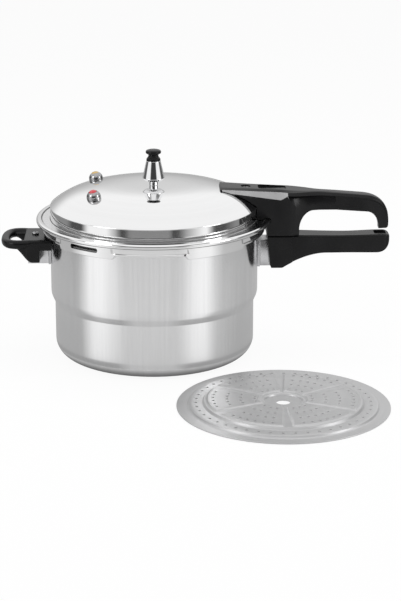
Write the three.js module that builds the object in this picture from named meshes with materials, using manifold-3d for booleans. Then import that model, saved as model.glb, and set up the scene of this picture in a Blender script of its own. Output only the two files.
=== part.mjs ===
// A stovetop pressure cooker with its lid locked on, and its steam rack lying beside it.
// Millimetres, +Z up. The origin is the centre of the pot's base, on the surface it stands on.
// The long handles point along +X, the helper handle along -X, and -Y is the front.
import * as THREE from "three";
import { mergeVertices } from "three/addons/utils/BufferGeometryUtils.js";
import Module from "manifold-3d";

const wasm = await Module();
wasm.setup();

// Fits shared by many pieces
const touchGap = 0.3; // between pieces that rest on each other
const boltGap = 0.4; // around a shank in its hole
const runGap = 0.8; // between pieces that turn past each other
const overcut = 1; // a cutting solid reaches this far past what it cuts
const turnSides = 48; // facets round the pot and the lid
const smallSides = 12; // facets round valves and the vent
const screwSides = 10; // facets round screws and rivets

// Pot
const potRadius = 123; // outside of the upper wall
const potHeight = 159; // base to rim
const potWall = 3;
const stepInset = 4.5; // the lower wall stands in by this much, so the rack has a ledge
const stepFoot = 66; // height where the lower wall ends
const stepRise = 10;
const baseCorner = 20; // outer radius of the corner round the base

// Bayonet: lugs on the pot, teeth on the lid
const toothCount = 5;
const toothArc = THREE.MathUtils.degToRad(34);
const toothMiddle = THREE.MathUtils.degToRad(88); // one tooth lies at the back
const lugThick = 3.5;
const lugDrop = 5; // from the rim to the top of a lug
const lugReach = 4.7; // beyond the pot's wall
const toothDepth = 3.2;

// Gasket
const gasketHeight = 3.9;

// Lid
const lidSheet = 2.5;
const lidWallInset = 0.5; // the raised wall stands in from the outside of the pot
const lidWallHeight = 15; // flange to the edge of the crown
const crownRise = 23;
const crownPower = 4.5; // 2 would be a plain dome, higher is flatter in the middle
const crownShares = [0.3, 0.5, 0.63, 0.75, 0.85, 0.93]; // points of the crown's profile
const shoulderRound = 3;
const flangeRound = 2; // where the wall meets the flange
const rimOverhang = 8; // rounded rim beyond the skirt
const rimThick = 6;
const rimRise = 1.6; // top of the rim above the flange
const skirtEdge = 1; // chamfer at the foot of the skirt
const gapCut = 4; // the skirt is this much shorter between the teeth
const windowArc = THREE.MathUtils.degToRad(17.5);
const windowHeight = 5.4; // slot that lets the gasket give way
const windowDrop = 3.7; // slot below the rounded rim

// Vent pipe and regulator
const ventHole = 3.9;
const ventCollarRadius = 5.2;
const ventCollarHeight = 4.6;
const ventEdge = 0.8; // chamfers of the vent pipe
const ventNozzleRadius = 3;
const ventNozzleLength = 11.5;
const ventBore = 1.3;
const ventIntake = 3; // end of the pipe above the strainer's floor
const ventWasherThick = 1.2;
const ventWasherRadius = 8;
const ventNutFlats = 14;
const ventNutThick = 4;
const strainerRadius = 8.5;
const strainerHeight = 9;
const strainerWall = 1.2;
const strainerSlots = 6;
const strainerSlotWidth = 1.6;
const weightLift = 0.9; // weight's foot above the vent collar
const weightRadius = 13.1;
const weightTopRadius = 8.4;
const weightChamfer = 3;
const weightHeight = 23.6;
const knobRadius = 9.1;
const knobWaist = 5.6;
const knobHeight = 13;
const knobStudRadius = 2;
const knobStudReach = 5.5; // into the weight and into the knob

// Safety valve and pressure indicator, both under acorn caps
const valveReach = 69; // distance from the lid's axis along -X
const valveSpread = 47; // distance from the X axis, one each way
const valveHole = 5.2;
const valveFlangeRadius = 8.2;
const valveFlangeThick = 2;
const valveWasherThick = 1.2;
const valveSeatGap = 0.7; // the lid curves away under the flat washer
const valveStemHeight = 4.6;
const valveBore = 2.6;
const capRadius = 8.4;
const capSkirt = 1.5; // straight part under the dome of the cap
const capHeight = 9.6;
const capEye = 3.5; // hole in the top of the cap
const plugProud = 0.8; // plug and pin stand above the cap
const pinTravel = 4;
const pinFootRadius = 4;
const pinFootThick = 1.6;
const pinSealThick = 1.4;

// Brackets that carry the handles on the pot
const handleDrop = 14; // from the pot's rim to the top of its handles
const bracketCover = 6; // plastic over a bracket
const bracketPlate = 3;
const bracketSheet = 2;
const bracketReach = 26; // beyond the pot's wall
const potBracketHalf = 13;
const potBracketHeight = 31;
const helperBracketHalf = 18;
const helperBracketHeight = 25;
const plateMargin = 4; // plate beyond the channel, each side
const rivetShank = 3;
const rivetHead = 4.8;
const rivetHeadThick = 2.2;
const rivetInset = 7.2; // from the plate's upper and lower edges

// Screws in the handles
const handleScrewReach = 17.5; // screw axis from the pot's wall
const screwRadius = 2.3;
const screwHeadRadius = 4;
const screwHeadThick = 2.2;
const nutFlats = 8;
const nutThick = 3.2;

// Long handle on the pot
const potHandleGap = 11; // from the pot's wall to the top of the handle's inner end
const potHandleSlant = 4;
const potHandleLength = 145;
const potHandleHalf = 16; // half width round the bracket
const potGripHalf = 12.5;
const potGripThick = 20.5;
const potBlockLength = 17; // foot of the block, along X
const potBlockApron = 3; // block below the bracket
const potHandleEdge = 4; // slanted edge at the free end

// Helper handle on the pot
const helperReach = 58; // from the pot's wall to the tip of the loop
const helperLoopHalf = 35;
const helperBlockHalf = 31;
const helperRod = 10; // thickness of the loop
const helperBlockGap = 14.5; // from the pot's wall to the block
const helperBlockThick = 16.5;
const helperBlockLift = 3; // foot of the block above the bracket's
const helperTopGap = 4; // the top plate reaches in under the lid's rim
const helperFillet = 7; // between the loop and the block
const helperSlant = 5; // the block's outer face leans in towards its foot

// Handle on the lid
const lidHandleDrop = 0.5; // from the top of the crown to the handle's top
const lidHandleInset = 44.5; // from the lid's raised wall in to the handle's front end
const lidHeadLength = 72;
const lidHandleFall = 3.5; // the head's top slopes down to the block
const lidHandleEdge = 1.5; // slanted edge round the front end
const lidHeadHalf = 19;
const lidGripHalf = 11;
const lidBlockReach = 32; // from the lid's rim to the end of the block
const lidBlockFillet = 18; // hollow corner between the block and the grip
const fingerGap = 29.5; // between the lid's grip and the pot's handle
const lidGripThick = 23;
const lidGripFall = 6; // the grip's top slopes down to the hook
const gripArch = 3; // the grip's underside sinks towards the hook
const hookThick = 11.5;
const hookInset = 1.5; // hook's back from the end of the pot's handle
const hookGap = 5.5; // tip of the hook above the pot's handle
const hookHalf = 6;
const lidScrewWell = 5.3; // radius of the well over the screw
const lidScrewSunk = 2.5; // screw head below the head's top
const lidScrewGrip = 1.5; // end of the screw above the crown
const lidBracketInset = 4.5; // from the lid's raised wall in to the bracket
const lidBracketLength = 19;
const lidBracketHalf = 8;
const lidBracketCover = 6.5; // plastic over the bracket
const lidPlateInset = 3.5; // bare sunk field, from the lid's raised wall in to its start
const lidPlateLength = 29;
const lidPlateHalf = 11;
const lidPlateDepth = 1.2;

// Steam rack
const rackSheet = 1.5;
const rackLedge = 3; // how far the rack reaches over the pot's inner step
const rackRim = 12; // width of the flat outer rim
const rackRise = 3; // each of the two raised steps
const rackBand = 14; // width of the band with the ring of holes
const rackSlope = 2.5;
const rackHub = 20; // radius of the raised hub
const rackEye = 8; // radius of the centre hole
const rackHoles = 46;
const rackHoleRadius = 1.8;
const rackHoleSides = 4;
const rackPanels = 6;
const rackPanelRows = [3, 4, 5, 6]; // holes in each row, from the hub outwards
const rackPanelArc = THREE.MathUtils.degToRad(42);
const rackPanelEdge = 9.5; // from a panel's edges to its first and last rows
const rackX = 142;
const rackY = -202;

// Heights and radii that follow from the driving dimensions
const lugRadius = potRadius + lugReach;
const lugTop = potHeight - lugDrop;
const lugFoot = lugTop - lugThick;
const toothTop = lugFoot - touchGap;
const toothInside = potRadius + runGap + touchGap;
const skirtInside = lugRadius + runGap;
const skirtRadius = skirtInside + lidSheet;
const skirtFoot = toothTop - toothDepth;
const rimRadius = skirtRadius + rimOverhang;
const flangeUnder = potHeight + touchGap + gasketHeight + touchGap;
const flangeTop = flangeUnder + lidSheet;
const rimMiddle = flangeTop + rimRise - rimThick / 2;
const lidWallRadius = potRadius - lidWallInset;
const crownEdge = flangeTop + lidWallHeight;
const crownTop = crownEdge + crownRise;
const handleTop = potHeight - handleDrop;
const handleScrewX = potRadius + handleScrewReach;
const bracketTop = handleTop - bracketCover;
const potBracketFoot = bracketTop - potBracketHeight;
const helperBracketFoot = bracketTop - helperBracketHeight;
const potHandleStart = potRadius + potHandleGap;
const potHandleEnd = potHandleStart + potHandleLength;
const lidHandleFront = lidWallRadius - lidHandleInset;
const lidHandleTop = crownTop - lidHandleDrop;
const lidBlockFoot = handleTop + runGap;
const lidBracketEnd = lidWallRadius - lidBracketInset;
const lidBracketStart = lidBracketEnd - lidBracketLength;
const lidScrewX = lidBracketEnd - lidBracketLength / 2;

// Finishes
const finishes = {
  satinAluminium: { color: 0xc9cacb, roughness: 0.32, metalness: 1 },
  polishedAluminium: { color: 0xdcdddd, roughness: 0.08, metalness: 1 },
  chrome: { color: 0xd5d7d9, roughness: 0.06, metalness: 1 },
  steel: { color: 0xb4b6b8, roughness: 0.3, metalness: 1 },
  phenolic: { color: 0x1d1d1e, roughness: 0.42, metalness: 0 },
  rubber: { color: 0x2b2b2b, roughness: 0.8, metalness: 0 },
  amberAlloy: { color: 0xc79a4a, roughness: 0.35, metalness: 0.6 },
  redPlastic: { color: 0xb3202c, roughness: 0.3, metalness: 0 },
};
for (const name of Object.keys(finishes)) {
  finishes[name] = new THREE.MeshStandardMaterial(finishes[name]);
}

// A geometry's closed surface as a solid that can be joined and cut.
function solidOf(geometry) {
  const bare = geometry.clone();
  bare.deleteAttribute("normal");
  bare.deleteAttribute("uv");
  const merged = mergeVertices(bare, 1e-4);
  const corners = [...merged.index.array];
  const faces = [];
  for (let i = 0; i < corners.length; i += 3) {
    const [a, b, c] = corners.slice(i, i + 3);
    if (a !== b && b !== c && a !== c) faces.push(a, b, c);
  }
  const vertProperties = new Float32Array(merged.attributes.position.array);
  const triVerts = new Uint32Array(faces);
  return new wasm.Manifold(new wasm.Mesh({ numProp: 3, vertProperties, triVerts }));
}

// A named piece made from a solid, added to a group.
function piece(group, name, solid, finish) {
  const { vertProperties, triVerts } = solid.getMesh();
  const geometry = new THREE.BufferGeometry();
  geometry.setAttribute("position", new THREE.BufferAttribute(vertProperties, 3));
  geometry.setIndex(new THREE.BufferAttribute(triVerts, 1));
  geometry.computeVertexNormals();
  const mesh = new THREE.Mesh(geometry, finishes[finish]);
  mesh.name = name;
  group.add(mesh);
  return mesh;
}

// A turned solid about Z from [radius, height] points, on the axis or closed on itself.
function turned(profile, sides) {
  const points = profile.map(([radius, height]) => new THREE.Vector2(radius, height));
  if (THREE.ShapeUtils.area(points) < 0) points.reverse();
  if (points[0].x > 0) points.push(points[0].clone());
  return solidOf(new THREE.LatheGeometry(points, sides).rotateX(Math.PI / 2));
}

// Points of an arc in a profile, from one angle to another in degrees.
function arcPoints(x, y, radius, from, to, steps) {
  const points = [];
  for (let i = 0; i <= steps; i += 1) {
    const angle = THREE.MathUtils.degToRad(from + ((to - from) * i) / steps);
    points.push([x + radius * Math.cos(angle), y + radius * Math.sin(angle)]);
  }
  return points;
}

// An upright round bar between two heights.
function bar(radius, foot, top, sides) {
  const geometry = new THREE.CylinderGeometry(radius, radius, top - foot, sides);
  geometry.rotateX(Math.PI / 2);
  return solidOf(geometry.translate(0, 0, (foot + top) / 2));
}

// A box between two corners.
function block(low, high) {
  const size = high.map((value, axis) => value - low[axis]);
  const middle = high.map((value, axis) => (value + low[axis]) / 2);
  return solidOf(new THREE.BoxGeometry(...size).translate(...middle));
}

// An outline in plan, raised between two heights.
function raised(shape, foot, top, curveSegments) {
  const options = { depth: top - foot, bevelEnabled: false, curveSegments };
  return solidOf(new THREE.ExtrudeGeometry(shape, options).translate(0, 0, foot));
}

// An outline of X and Z, as wide as twice the half width along Y.
function sideSlab(shape, half, curveSegments) {
  const options = { depth: 2 * half, bevelEnabled: false, curveSegments };
  const geometry = new THREE.ExtrudeGeometry(shape, options).rotateX(Math.PI / 2);
  return solidOf(geometry.translate(0, half, 0));
}

// Part of a ring about Z.
function ringPart(inner, outer, middle, arc, foot, top) {
  const shape = new THREE.Shape();
  shape.absarc(0, 0, outer, middle - arc / 2, middle + arc / 2, false);
  shape.absarc(0, 0, inner, middle + arc / 2, middle - arc / 2, true);
  return raised(shape, foot, top, 3);
}

// A six-sided nut about Z.
function hexNut(flats, hole, foot, top) {
  const shape = new THREE.Shape();
  for (let i = 0; i < 6; i += 1) {
    const angle = (i * Math.PI) / 3;
    const corner = flats / Math.sqrt(3);
    const point = [corner * Math.cos(angle), corner * Math.sin(angle)];
    if (i === 0) shape.moveTo(...point);
    else shape.lineTo(...point);
  }
  const bore = new THREE.Path();
  bore.absarc(0, 0, hole, 0, 2 * Math.PI, true);
  shape.holes.push(bore);
  return raised(shape, foot, top, screwSides / 2);
}

// Height of the lid's crown above a point at this radius.
function crownAt(radius) {
  return crownEdge + crownRise * (1 - (radius / lidWallRadius) ** crownPower);
}

function crownSlope(radius) {
  return (crownRise * crownPower * (radius / lidWallRadius) ** (crownPower - 1)) / lidWallRadius;
}

// Pot: a deep drawn shell with a ledge for the rack, and lugs under its rim.
function potShell() {
  const lower = potRadius - stepInset;
  const inner = baseCorner - potWall;
  const corner = lower - baseCorner;
  const outside = [
    [0, 0],
    ...arcPoints(corner, baseCorner, baseCorner, -90, 0, 5),
    [lower, stepFoot],
    [lower + stepInset * 0.2, stepFoot + stepRise * 0.3],
    [potRadius - stepInset * 0.2, stepFoot + stepRise * 0.7],
    [potRadius, stepFoot + stepRise],
    [potRadius, potHeight],
  ];
  const inside = [
    [potRadius - potWall, potHeight],
    [potRadius - potWall, stepFoot + stepRise],
    [lower - potWall, stepFoot],
    ...arcPoints(corner, baseCorner, inner, 0, -90, 4),
    [0, potWall],
  ];
  let shell = turned([...outside, ...inside], turnSides);
  for (let i = 0; i < toothCount; i += 1) {
    const middle = toothMiddle + (i * 2 * Math.PI) / toothCount;
    const root = potRadius - potWall / 2;
    shell = shell.add(ringPart(root, lugRadius, middle, toothArc, lugFoot, lugTop));
  }
  for (const [side, foot] of [
    [1, potBracketFoot],
    [-1, helperBracketFoot],
  ]) {
    for (const height of rivetHeights(foot)) {
      const hole = bar(rivetShank + boltGap, 0, potRadius + overcut, screwSides);
      shell = shell.subtract(hole.rotate([0, 90 * side, 0]).translate([0, 0, height]));
    }
  }
  return shell;
}

function rivetHeights(foot) {
  return [foot + rivetInset, bracketTop - rivetInset];
}

// Bracket on the pot's wall: a curved plate with a square channel for the handle.
function bracket(half, foot) {
  const wall = potRadius + touchGap;
  const plateHalf = half + plateMargin;
  const plateArc = 2 * Math.asin(plateHalf / wall);
  const plate = ringPart(wall, wall + bracketPlate, 0, plateArc, foot, bracketTop);
  const rootX = wall * Math.cos(plateArc / 2) + bracketPlate / 2;
  const endX = potRadius + bracketReach;
  const channel = block([rootX, -half, foot], [endX, half, bracketTop]);
  const hollow = block(
    [wall + bracketPlate, bracketSheet - half, foot + bracketSheet],
    [endX + overcut, half - bracketSheet, bracketTop - bracketSheet],
  );
  const wallRound = bar(wall, foot - overcut, bracketTop + overcut, turnSides * 2);
  const screwFoot = bracketTop - bracketSheet - overcut;
  const screwHole = bar(screwRadius + boltGap, screwFoot, bracketTop + overcut, screwSides);
  let solid = channel.add(plate).subtract(hollow).subtract(wallRound);
  solid = solid.subtract(screwHole.translate([handleScrewX, 0, 0]));
  for (const height of rivetHeights(foot)) {
    const hole = bar(rivetShank + boltGap, potRadius, wall + bracketPlate + overcut, screwSides);
    solid = solid.subtract(hole.rotate([0, 90, 0]).translate([0, 0, height]));
  }
  return solid;
}

// Rivet through the pot's wall and the bracket's plate, with a head at each end.
function rivet(height) {
  const insideFace = (potRadius - potWall) * Math.cos(Math.PI / turnSides) - touchGap;
  const outsideFace = potRadius + touchGap + bracketPlate + touchGap;
  const crownRadius = rivetHead * 0.6;
  const profile = [
    [0, insideFace - rivetHeadThick],
    [crownRadius, insideFace - rivetHeadThick],
    [rivetHead, insideFace - rivetHeadThick * 0.3],
    [rivetHead, insideFace],
    [rivetShank, insideFace],
    [rivetShank, outsideFace],
    [rivetHead, outsideFace],
    [rivetHead, outsideFace + rivetHeadThick * 0.3],
    [crownRadius, outsideFace + rivetHeadThick],
    [0, outsideFace + rivetHeadThick],
  ];
  return turned(profile, screwSides).rotate([0, 90, 0]).translate([0, 0, height]);
}

// Room that a handle leaves for its bracket, its screw and the screw's head.
function bracketRoom(half, foot) {
  const pocket = block(
    [potRadius, -half - touchGap, foot - touchGap],
    [potRadius + bracketReach + touchGap, half + touchGap, bracketTop + touchGap],
  );
  const shank = bar(screwRadius + boltGap, bracketTop, handleTop + overcut, screwSides);
  return pocket.add(shank.translate([handleScrewX, 0, 0]));
}

// Pan-head screw that stands upright at this distance from the axis.
function panScrew(reach, end, headFoot) {
  const headTop = headFoot + screwHeadThick;
  const profile = [
    [0, end],
    [screwRadius, end],
    [screwRadius, headFoot],
    [screwHeadRadius, headFoot],
    [screwHeadRadius, headTop - screwHeadThick * 0.4],
    [screwHeadRadius * 0.7, headTop],
    [0, headTop],
  ];
  return turned(profile, screwSides).translate([reach, 0, 0]);
}

// Screw from the handle's top into the nut inside the bracket.
function handleScrew(headFoot) {
  const end = bracketTop - bracketSheet - touchGap - nutThick - touchGap;
  return panScrew(handleScrewX, end, headFoot);
}

function handleNut() {
  const top = bracketTop - bracketSheet - touchGap;
  const nut = hexNut(nutFlats, screwRadius + touchGap, top - nutThick, top);
  return nut.translate([handleScrewX, 0, 0]);
}

// Long handle on the pot: a deep block round the bracket that thins to a grip.
function potHandle() {
  const gripFoot = handleTop - potGripThick;
  const blockFoot = potBracketFoot - potBlockApron;
  const blockEnd = potHandleStart + potHandleSlant + potBlockLength;
  const gripStart = blockEnd + 3 * potBlockLength;
  const endRound = potGripThick * 0.6;
  const side = new THREE.Shape();
  side.moveTo(potHandleStart, handleTop);
  side.lineTo(potHandleStart + potHandleSlant, blockFoot);
  side.lineTo(blockEnd, blockFoot);
  side.bezierCurveTo(
    blockEnd + potBlockLength, blockFoot + potBlockLength / 2,
    blockEnd + potBlockLength, gripFoot,
    gripStart, gripFoot,
  );
  side.lineTo(potHandleEnd - endRound, gripFoot);
  side.quadraticCurveTo(potHandleEnd, gripFoot, potHandleEnd, handleTop - potHandleEdge);
  side.lineTo(potHandleEnd - potHandleEdge / 2, handleTop);
  const plan = new THREE.Shape();
  const waist = (blockEnd + gripStart) / 2;
  plan.moveTo(potRadius, -potHandleHalf);
  plan.lineTo(blockEnd, -potHandleHalf);
  plan.quadraticCurveTo(waist, -potGripHalf, gripStart, -potGripHalf);
  plan.lineTo(potHandleEnd - potGripHalf, -potGripHalf);
  plan.absarc(potHandleEnd - potGripHalf, 0, potGripHalf, -Math.PI / 2, Math.PI / 2, false);
  plan.lineTo(gripStart, potGripHalf);
  plan.quadraticCurveTo(waist, potGripHalf, blockEnd, potHandleHalf);
  plan.lineTo(potRadius, potHandleHalf);
  const body = sideSlab(side, potHandleHalf + overcut, 6);
  const footprint = raised(plan, blockFoot - overcut, handleTop + overcut, 4);
  const well = bar(screwHeadRadius + boltGap, potWellFloor(), handleTop + overcut, screwSides);
  return body
    .intersect(footprint)
    .subtract(bracketRoom(potBracketHalf, potBracketFoot))
    .subtract(well.translate([handleScrewX, 0, 0]));
}

// The pot handle's screw head is sunk, so that the lid's handle can turn over it.
function potWellFloor() {
  return handleTop - screwHeadThick - 2 * touchGap;
}

// Helper handle: a loop to hold, on a block round the bracket.
function helperHandle() {
  const tip = -potRadius - helperReach;
  const loopFoot = handleTop - helperRod;
  const blockFoot = helperBracketFoot + helperBlockLift;
  const blockStart = -potRadius - helperBlockGap;
  const blockEnd = blockStart - helperBlockThick;
  const topStart = -potRadius - helperTopGap;
  const topFoot = bracketTop - helperRod;
  const rodRound = helperRod / 2;
  const side = new THREE.Shape();
  side.moveTo(topStart, handleTop);
  side.lineTo(tip + rodRound, handleTop);
  side.quadraticCurveTo(tip, handleTop, tip, handleTop - rodRound);
  side.quadraticCurveTo(tip, loopFoot, tip + rodRound, loopFoot);
  side.lineTo(blockEnd - helperFillet, loopFoot);
  side.quadraticCurveTo(blockEnd, loopFoot, blockEnd, loopFoot - helperFillet);
  side.lineTo(blockEnd + helperSlant, blockFoot);
  side.lineTo(blockStart, blockFoot);
  side.lineTo(blockStart, topFoot);
  side.lineTo(topStart, topFoot);
  const plan = new THREE.Shape();
  const bend = helperLoopHalf * 0.8;
  plan.moveTo(-potRadius, -helperBlockHalf);
  plan.lineTo(blockEnd, -helperBlockHalf);
  plan.bezierCurveTo(tip + helperRod, -helperLoopHalf, tip, -bend, tip, 0);
  plan.bezierCurveTo(tip, bend, tip + helperRod, helperLoopHalf, blockEnd, helperBlockHalf);
  plan.lineTo(-potRadius, helperBlockHalf);
  const eye = new THREE.Shape();
  const eyeEnd = tip + helperRod;
  const eyeHalf = helperLoopHalf - helperRod;
  eye.moveTo(blockEnd, -eyeHalf);
  eye.bezierCurveTo(eyeEnd, -eyeHalf, eyeEnd, -eyeHalf * 0.6, eyeEnd, 0);
  eye.bezierCurveTo(eyeEnd, eyeHalf * 0.6, eyeEnd, eyeHalf, blockEnd, eyeHalf);
  const body = sideSlab(side, helperLoopHalf + overcut, 5);
  const footprint = raised(plan, blockFoot - overcut, handleTop + overcut, 6);
  const hole = raised(eye, loopFoot - helperFillet - overcut, handleTop + overcut, 5);
  const potSide = bar(potRadius + runGap, 0, handleTop + overcut, turnSides);
  const room = bracketRoom(helperBracketHalf, helperBracketFoot).rotate([0, 0, 180]);
  const plateOutside = potRadius + 2 * touchGap + bracketPlate;
  const plateArc = 2 * Math.asin((helperBracketHalf + plateMargin + overcut) / potRadius);
  const plateFoot = helperBracketFoot - overcut;
  const plateTop = bracketTop + touchGap;
  const plate = ringPart(potRadius - overcut, plateOutside, Math.PI, plateArc, plateFoot, plateTop);
  return body.intersect(footprint).subtract(hole).subtract(potSide).subtract(room).subtract(plate);
}

// The lid's outer surface, with a clearance added all round and closed down to a foot.
function lidEnvelope(clear, foot) {
  const profile = [[0, crownTop + clear]];
  for (const share of crownShares) {
    const radius = lidWallRadius * share;
    profile.push([radius + clear * crownSlope(radius), crownAt(radius) + clear]);
  }
  profile.push(
    [lidWallRadius - shoulderRound / 2, crownAt(lidWallRadius - shoulderRound / 2) + clear],
    [lidWallRadius + clear, crownEdge - shoulderRound / 2],
    [lidWallRadius + clear, flangeTop + clear + flangeRound / 2],
    [rimRadius - rimThick / 2, flangeTop + rimRise + clear],
    [rimRadius + clear, flangeTop + rimRise - rimThick / 4],
    [rimRadius + clear, foot],
    [0, foot],
  );
  return turned(profile, turnSides);
}

// Lid: one pressing with a crown, a raised wall, a flange, a rounded rim and a skirt with teeth.
function lidShell() {
  const wallInside = lidWallRadius - lidSheet;
  const rimBend = rimRadius - rimThick / 2;
  const rimFoot = rimMiddle - rimThick / 2;
  const crownOut = crownShares.map((share) => [lidWallRadius * share, crownAt(lidWallRadius * share)]);
  const crownIn = crownShares.map((share) => [
    wallInside * share,
    crownAt(wallInside * share) - lidSheet,
  ]);
  const outside = [
    [ventHole, crownTop],
    ...crownOut,
    [lidWallRadius - shoulderRound, crownAt(lidWallRadius - shoulderRound)],
    [lidWallRadius, crownEdge - shoulderRound],
    [lidWallRadius, flangeTop + flangeRound],
    [lidWallRadius + flangeRound, flangeTop],
    [rimBend - rimThick / 2, flangeTop],
    ...arcPoints(rimBend, rimMiddle, rimThick / 2, 90, -90, 4),
    [skirtRadius, rimFoot],
    [skirtRadius, skirtFoot + skirtEdge],
    [skirtRadius - skirtEdge, skirtFoot],
    [toothInside, skirtFoot],
  ];
  const inside = [
    [toothInside, toothTop],
    [skirtInside, toothTop],
    [skirtInside, flangeUnder],
    [wallInside, flangeUnder],
    [wallInside, crownEdge - shoulderRound - lidSheet],
    ...crownIn.reverse(),
    [ventHole, crownTop - lidSheet],
  ];
  let shell = turned([...outside, ...inside], turnSides);
  const pitch = (2 * Math.PI) / toothCount;
  for (let i = 0; i < toothCount; i += 1) {
    const middle = toothMiddle + (i + 0.5) * pitch;
    const cutFoot = skirtFoot - overcut;
    const cutTop = skirtFoot + gapCut;
    shell = shell.subtract(
      ringPart(potRadius, skirtRadius + overcut, middle, pitch - toothArc, cutFoot, cutTop),
    );
  }
  const windowTop = rimFoot - windowDrop;
  const windowMiddle = toothMiddle + 2 * pitch;
  const windowFoot = windowTop - windowHeight;
  shell = shell.subtract(
    ringPart(skirtInside - overcut, skirtRadius + overcut, windowMiddle, windowArc, windowFoot, windowTop),
  );
  for (const side of [1, -1]) {
    const hole = bar(valveHole, -3 * lidSheet, 3 * lidSheet, smallSides);
    shell = shell.subtract(hole.transform(valveFrame(side).elements));
  }
  return shell;
}

// Place and tilt of a valve on the crown: its own Z axis stands square on the lid.
function valveFrame(side) {
  const radius = Math.hypot(valveReach, valveSpread);
  const around = Math.atan2(side * valveSpread, -valveReach);
  const tilt = Math.atan(crownSlope(radius));
  const frame = new THREE.Matrix4().makeRotationZ(around);
  frame.multiply(new THREE.Matrix4().makeTranslation(radius, 0, crownAt(radius)));
  return frame.multiply(new THREE.Matrix4().makeRotationY(tilt));
}

// Gasket in the lid's channel, on the rim of the pot.
function gasket() {
  const inner = lidWallRadius - lidSheet + touchGap;
  const outer = skirtInside - touchGap;
  const foot = potHeight + touchGap;
  const top = foot + gasketHeight;
  const lip = gasketHeight * 0.4;
  const profile = [
    [inner, foot],
    [potRadius + touchGap, foot],
    [outer - lip, foot],
    [outer, foot + lip],
    [outer, top],
    [inner, top],
  ];
  return turned(profile, turnSides);
}

// Vent pipe through the middle of the lid, with a nozzle that the weight sits on.
function ventPipe() {
  const stem = ventHole - boltGap;
  const foot = strainerFoot() + strainerWall + ventIntake;
  const collarFoot = crownTop + touchGap;
  const collarTop = collarFoot + ventCollarHeight;
  const profile = [
    [ventBore, foot],
    [stem, foot],
    [stem, collarFoot],
    [ventCollarRadius, collarFoot],
    [ventCollarRadius, collarTop - ventEdge],
    [ventNozzleRadius, collarTop],
    [ventNozzleRadius, nozzleTop() - ventEdge],
    [ventNozzleRadius - ventEdge, nozzleTop()],
    [ventBore, nozzleTop()],
  ];
  return turned(profile, smallSides);
}

function nozzleTop() {
  return crownTop + touchGap + ventCollarHeight + ventNozzleLength;
}

function ventWasher() {
  const top = crownTop - lidSheet - valveSeatGap;
  return turned(ringProfile(ventHole, ventWasherRadius, top - ventWasherThick, top), smallSides);
}

function ringProfile(inner, outer, foot, top) {
  return [
    [inner, foot],
    [outer, foot],
    [outer, top],
    [inner, top],
  ];
}

function ventNutTop() {
  return crownTop - lidSheet - valveSeatGap - ventWasherThick - touchGap;
}

function strainerFoot() {
  return ventNutTop() - ventNutThick - touchGap - strainerHeight;
}

// Cup under the vent that keeps food out of it, with slots round its side.
function ventStrainer() {
  const top = ventNutTop() - ventNutThick - touchGap;
  const foot = strainerFoot();
  const profile = [
    [0, foot],
    [strainerRadius - strainerWall, foot],
    [strainerRadius, foot + strainerWall],
    [strainerRadius, top],
    [ventHole, top],
    [ventHole, top - strainerWall],
    [strainerRadius - strainerWall, top - strainerWall],
    [strainerRadius - strainerWall, foot + strainerWall],
    [0, foot + strainerWall],
  ];
  let cup = turned(profile, smallSides);
  for (let i = 0; i < strainerSlots; i += 1) {
    const slot = block(
      [strainerRadius - 2 * strainerWall, -strainerSlotWidth / 2, foot + 2 * strainerWall],
      [strainerRadius + overcut, strainerSlotWidth / 2, top - 2 * strainerWall],
    );
    cup = cup.subtract(slot.rotate([0, 0, (i * 360) / strainerSlots]));
  }
  return cup;
}

// Weight: a steep cone with a blind bore that drops over the vent's nozzle.
function regulatorWeight() {
  const foot = weightFoot();
  const top = foot + weightHeight;
  const bore = ventNozzleRadius + boltGap;
  const roof = nozzleTop() + touchGap;
  const studHole = knobStudRadius + touchGap;
  const profile = [
    [bore, foot],
    [weightRadius - weightChamfer, foot],
    [weightRadius, foot + weightChamfer],
    [weightTopRadius, top],
    [studHole, top],
    [studHole, top - knobStudReach - touchGap],
    [0, top - knobStudReach - touchGap],
    [0, roof],
    [bore, roof],
  ];
  return turned(profile, smallSides);
}

function weightFoot() {
  return crownTop + touchGap + ventCollarHeight + weightLift;
}

// Knob on the weight: a collar, a waist and a round head.
function regulatorKnob() {
  const foot = weightFoot() + weightHeight + touchGap;
  const top = foot + knobHeight;
  const studHole = knobStudRadius + touchGap;
  const profile = [
    [studHole, foot],
    [weightTopRadius, foot],
    [weightTopRadius, foot + knobHeight * 0.1],
    [knobWaist, foot + knobHeight * 0.45],
    [knobWaist * 1.15, foot + knobHeight * 0.55],
    [knobRadius * 0.95, foot + knobHeight * 0.66],
    [knobRadius, foot + knobHeight * 0.8],
    [knobRadius * 0.9, foot + knobHeight * 0.94],
    [knobRadius * 0.6, top],
    [0, top],
    [0, foot + knobStudReach + touchGap],
    [studHole, foot + knobStudReach + touchGap],
  ];
  return turned(profile, smallSides);
}

function regulatorStud() {
  const middle = weightFoot() + weightHeight;
  return bar(knobStudRadius, middle - knobStudReach, middle + touchGap + knobStudReach, screwSides);
}

// Seat of a valve, in the valve's own frame: a flange under the lid and a hollow stem through it.
function valveSeat() {
  const stem = valveHole - boltGap;
  const flangeTop = -lidSheet - valveSeatGap - valveWasherThick - touchGap;
  const profile = [
    [valveBore, flangeTop - valveFlangeThick],
    [valveFlangeRadius, flangeTop - valveFlangeThick],
    [valveFlangeRadius, flangeTop],
    [stem, flangeTop],
    [stem, valveStemHeight],
    [valveBore, valveStemHeight],
  ];
  return turned(profile, smallSides);
}

function valveWasher() {
  const top = -lidSheet - valveSeatGap;
  return turned(ringProfile(valveHole, valveFlangeRadius, top - valveWasherThick, top), smallSides);
}

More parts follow.
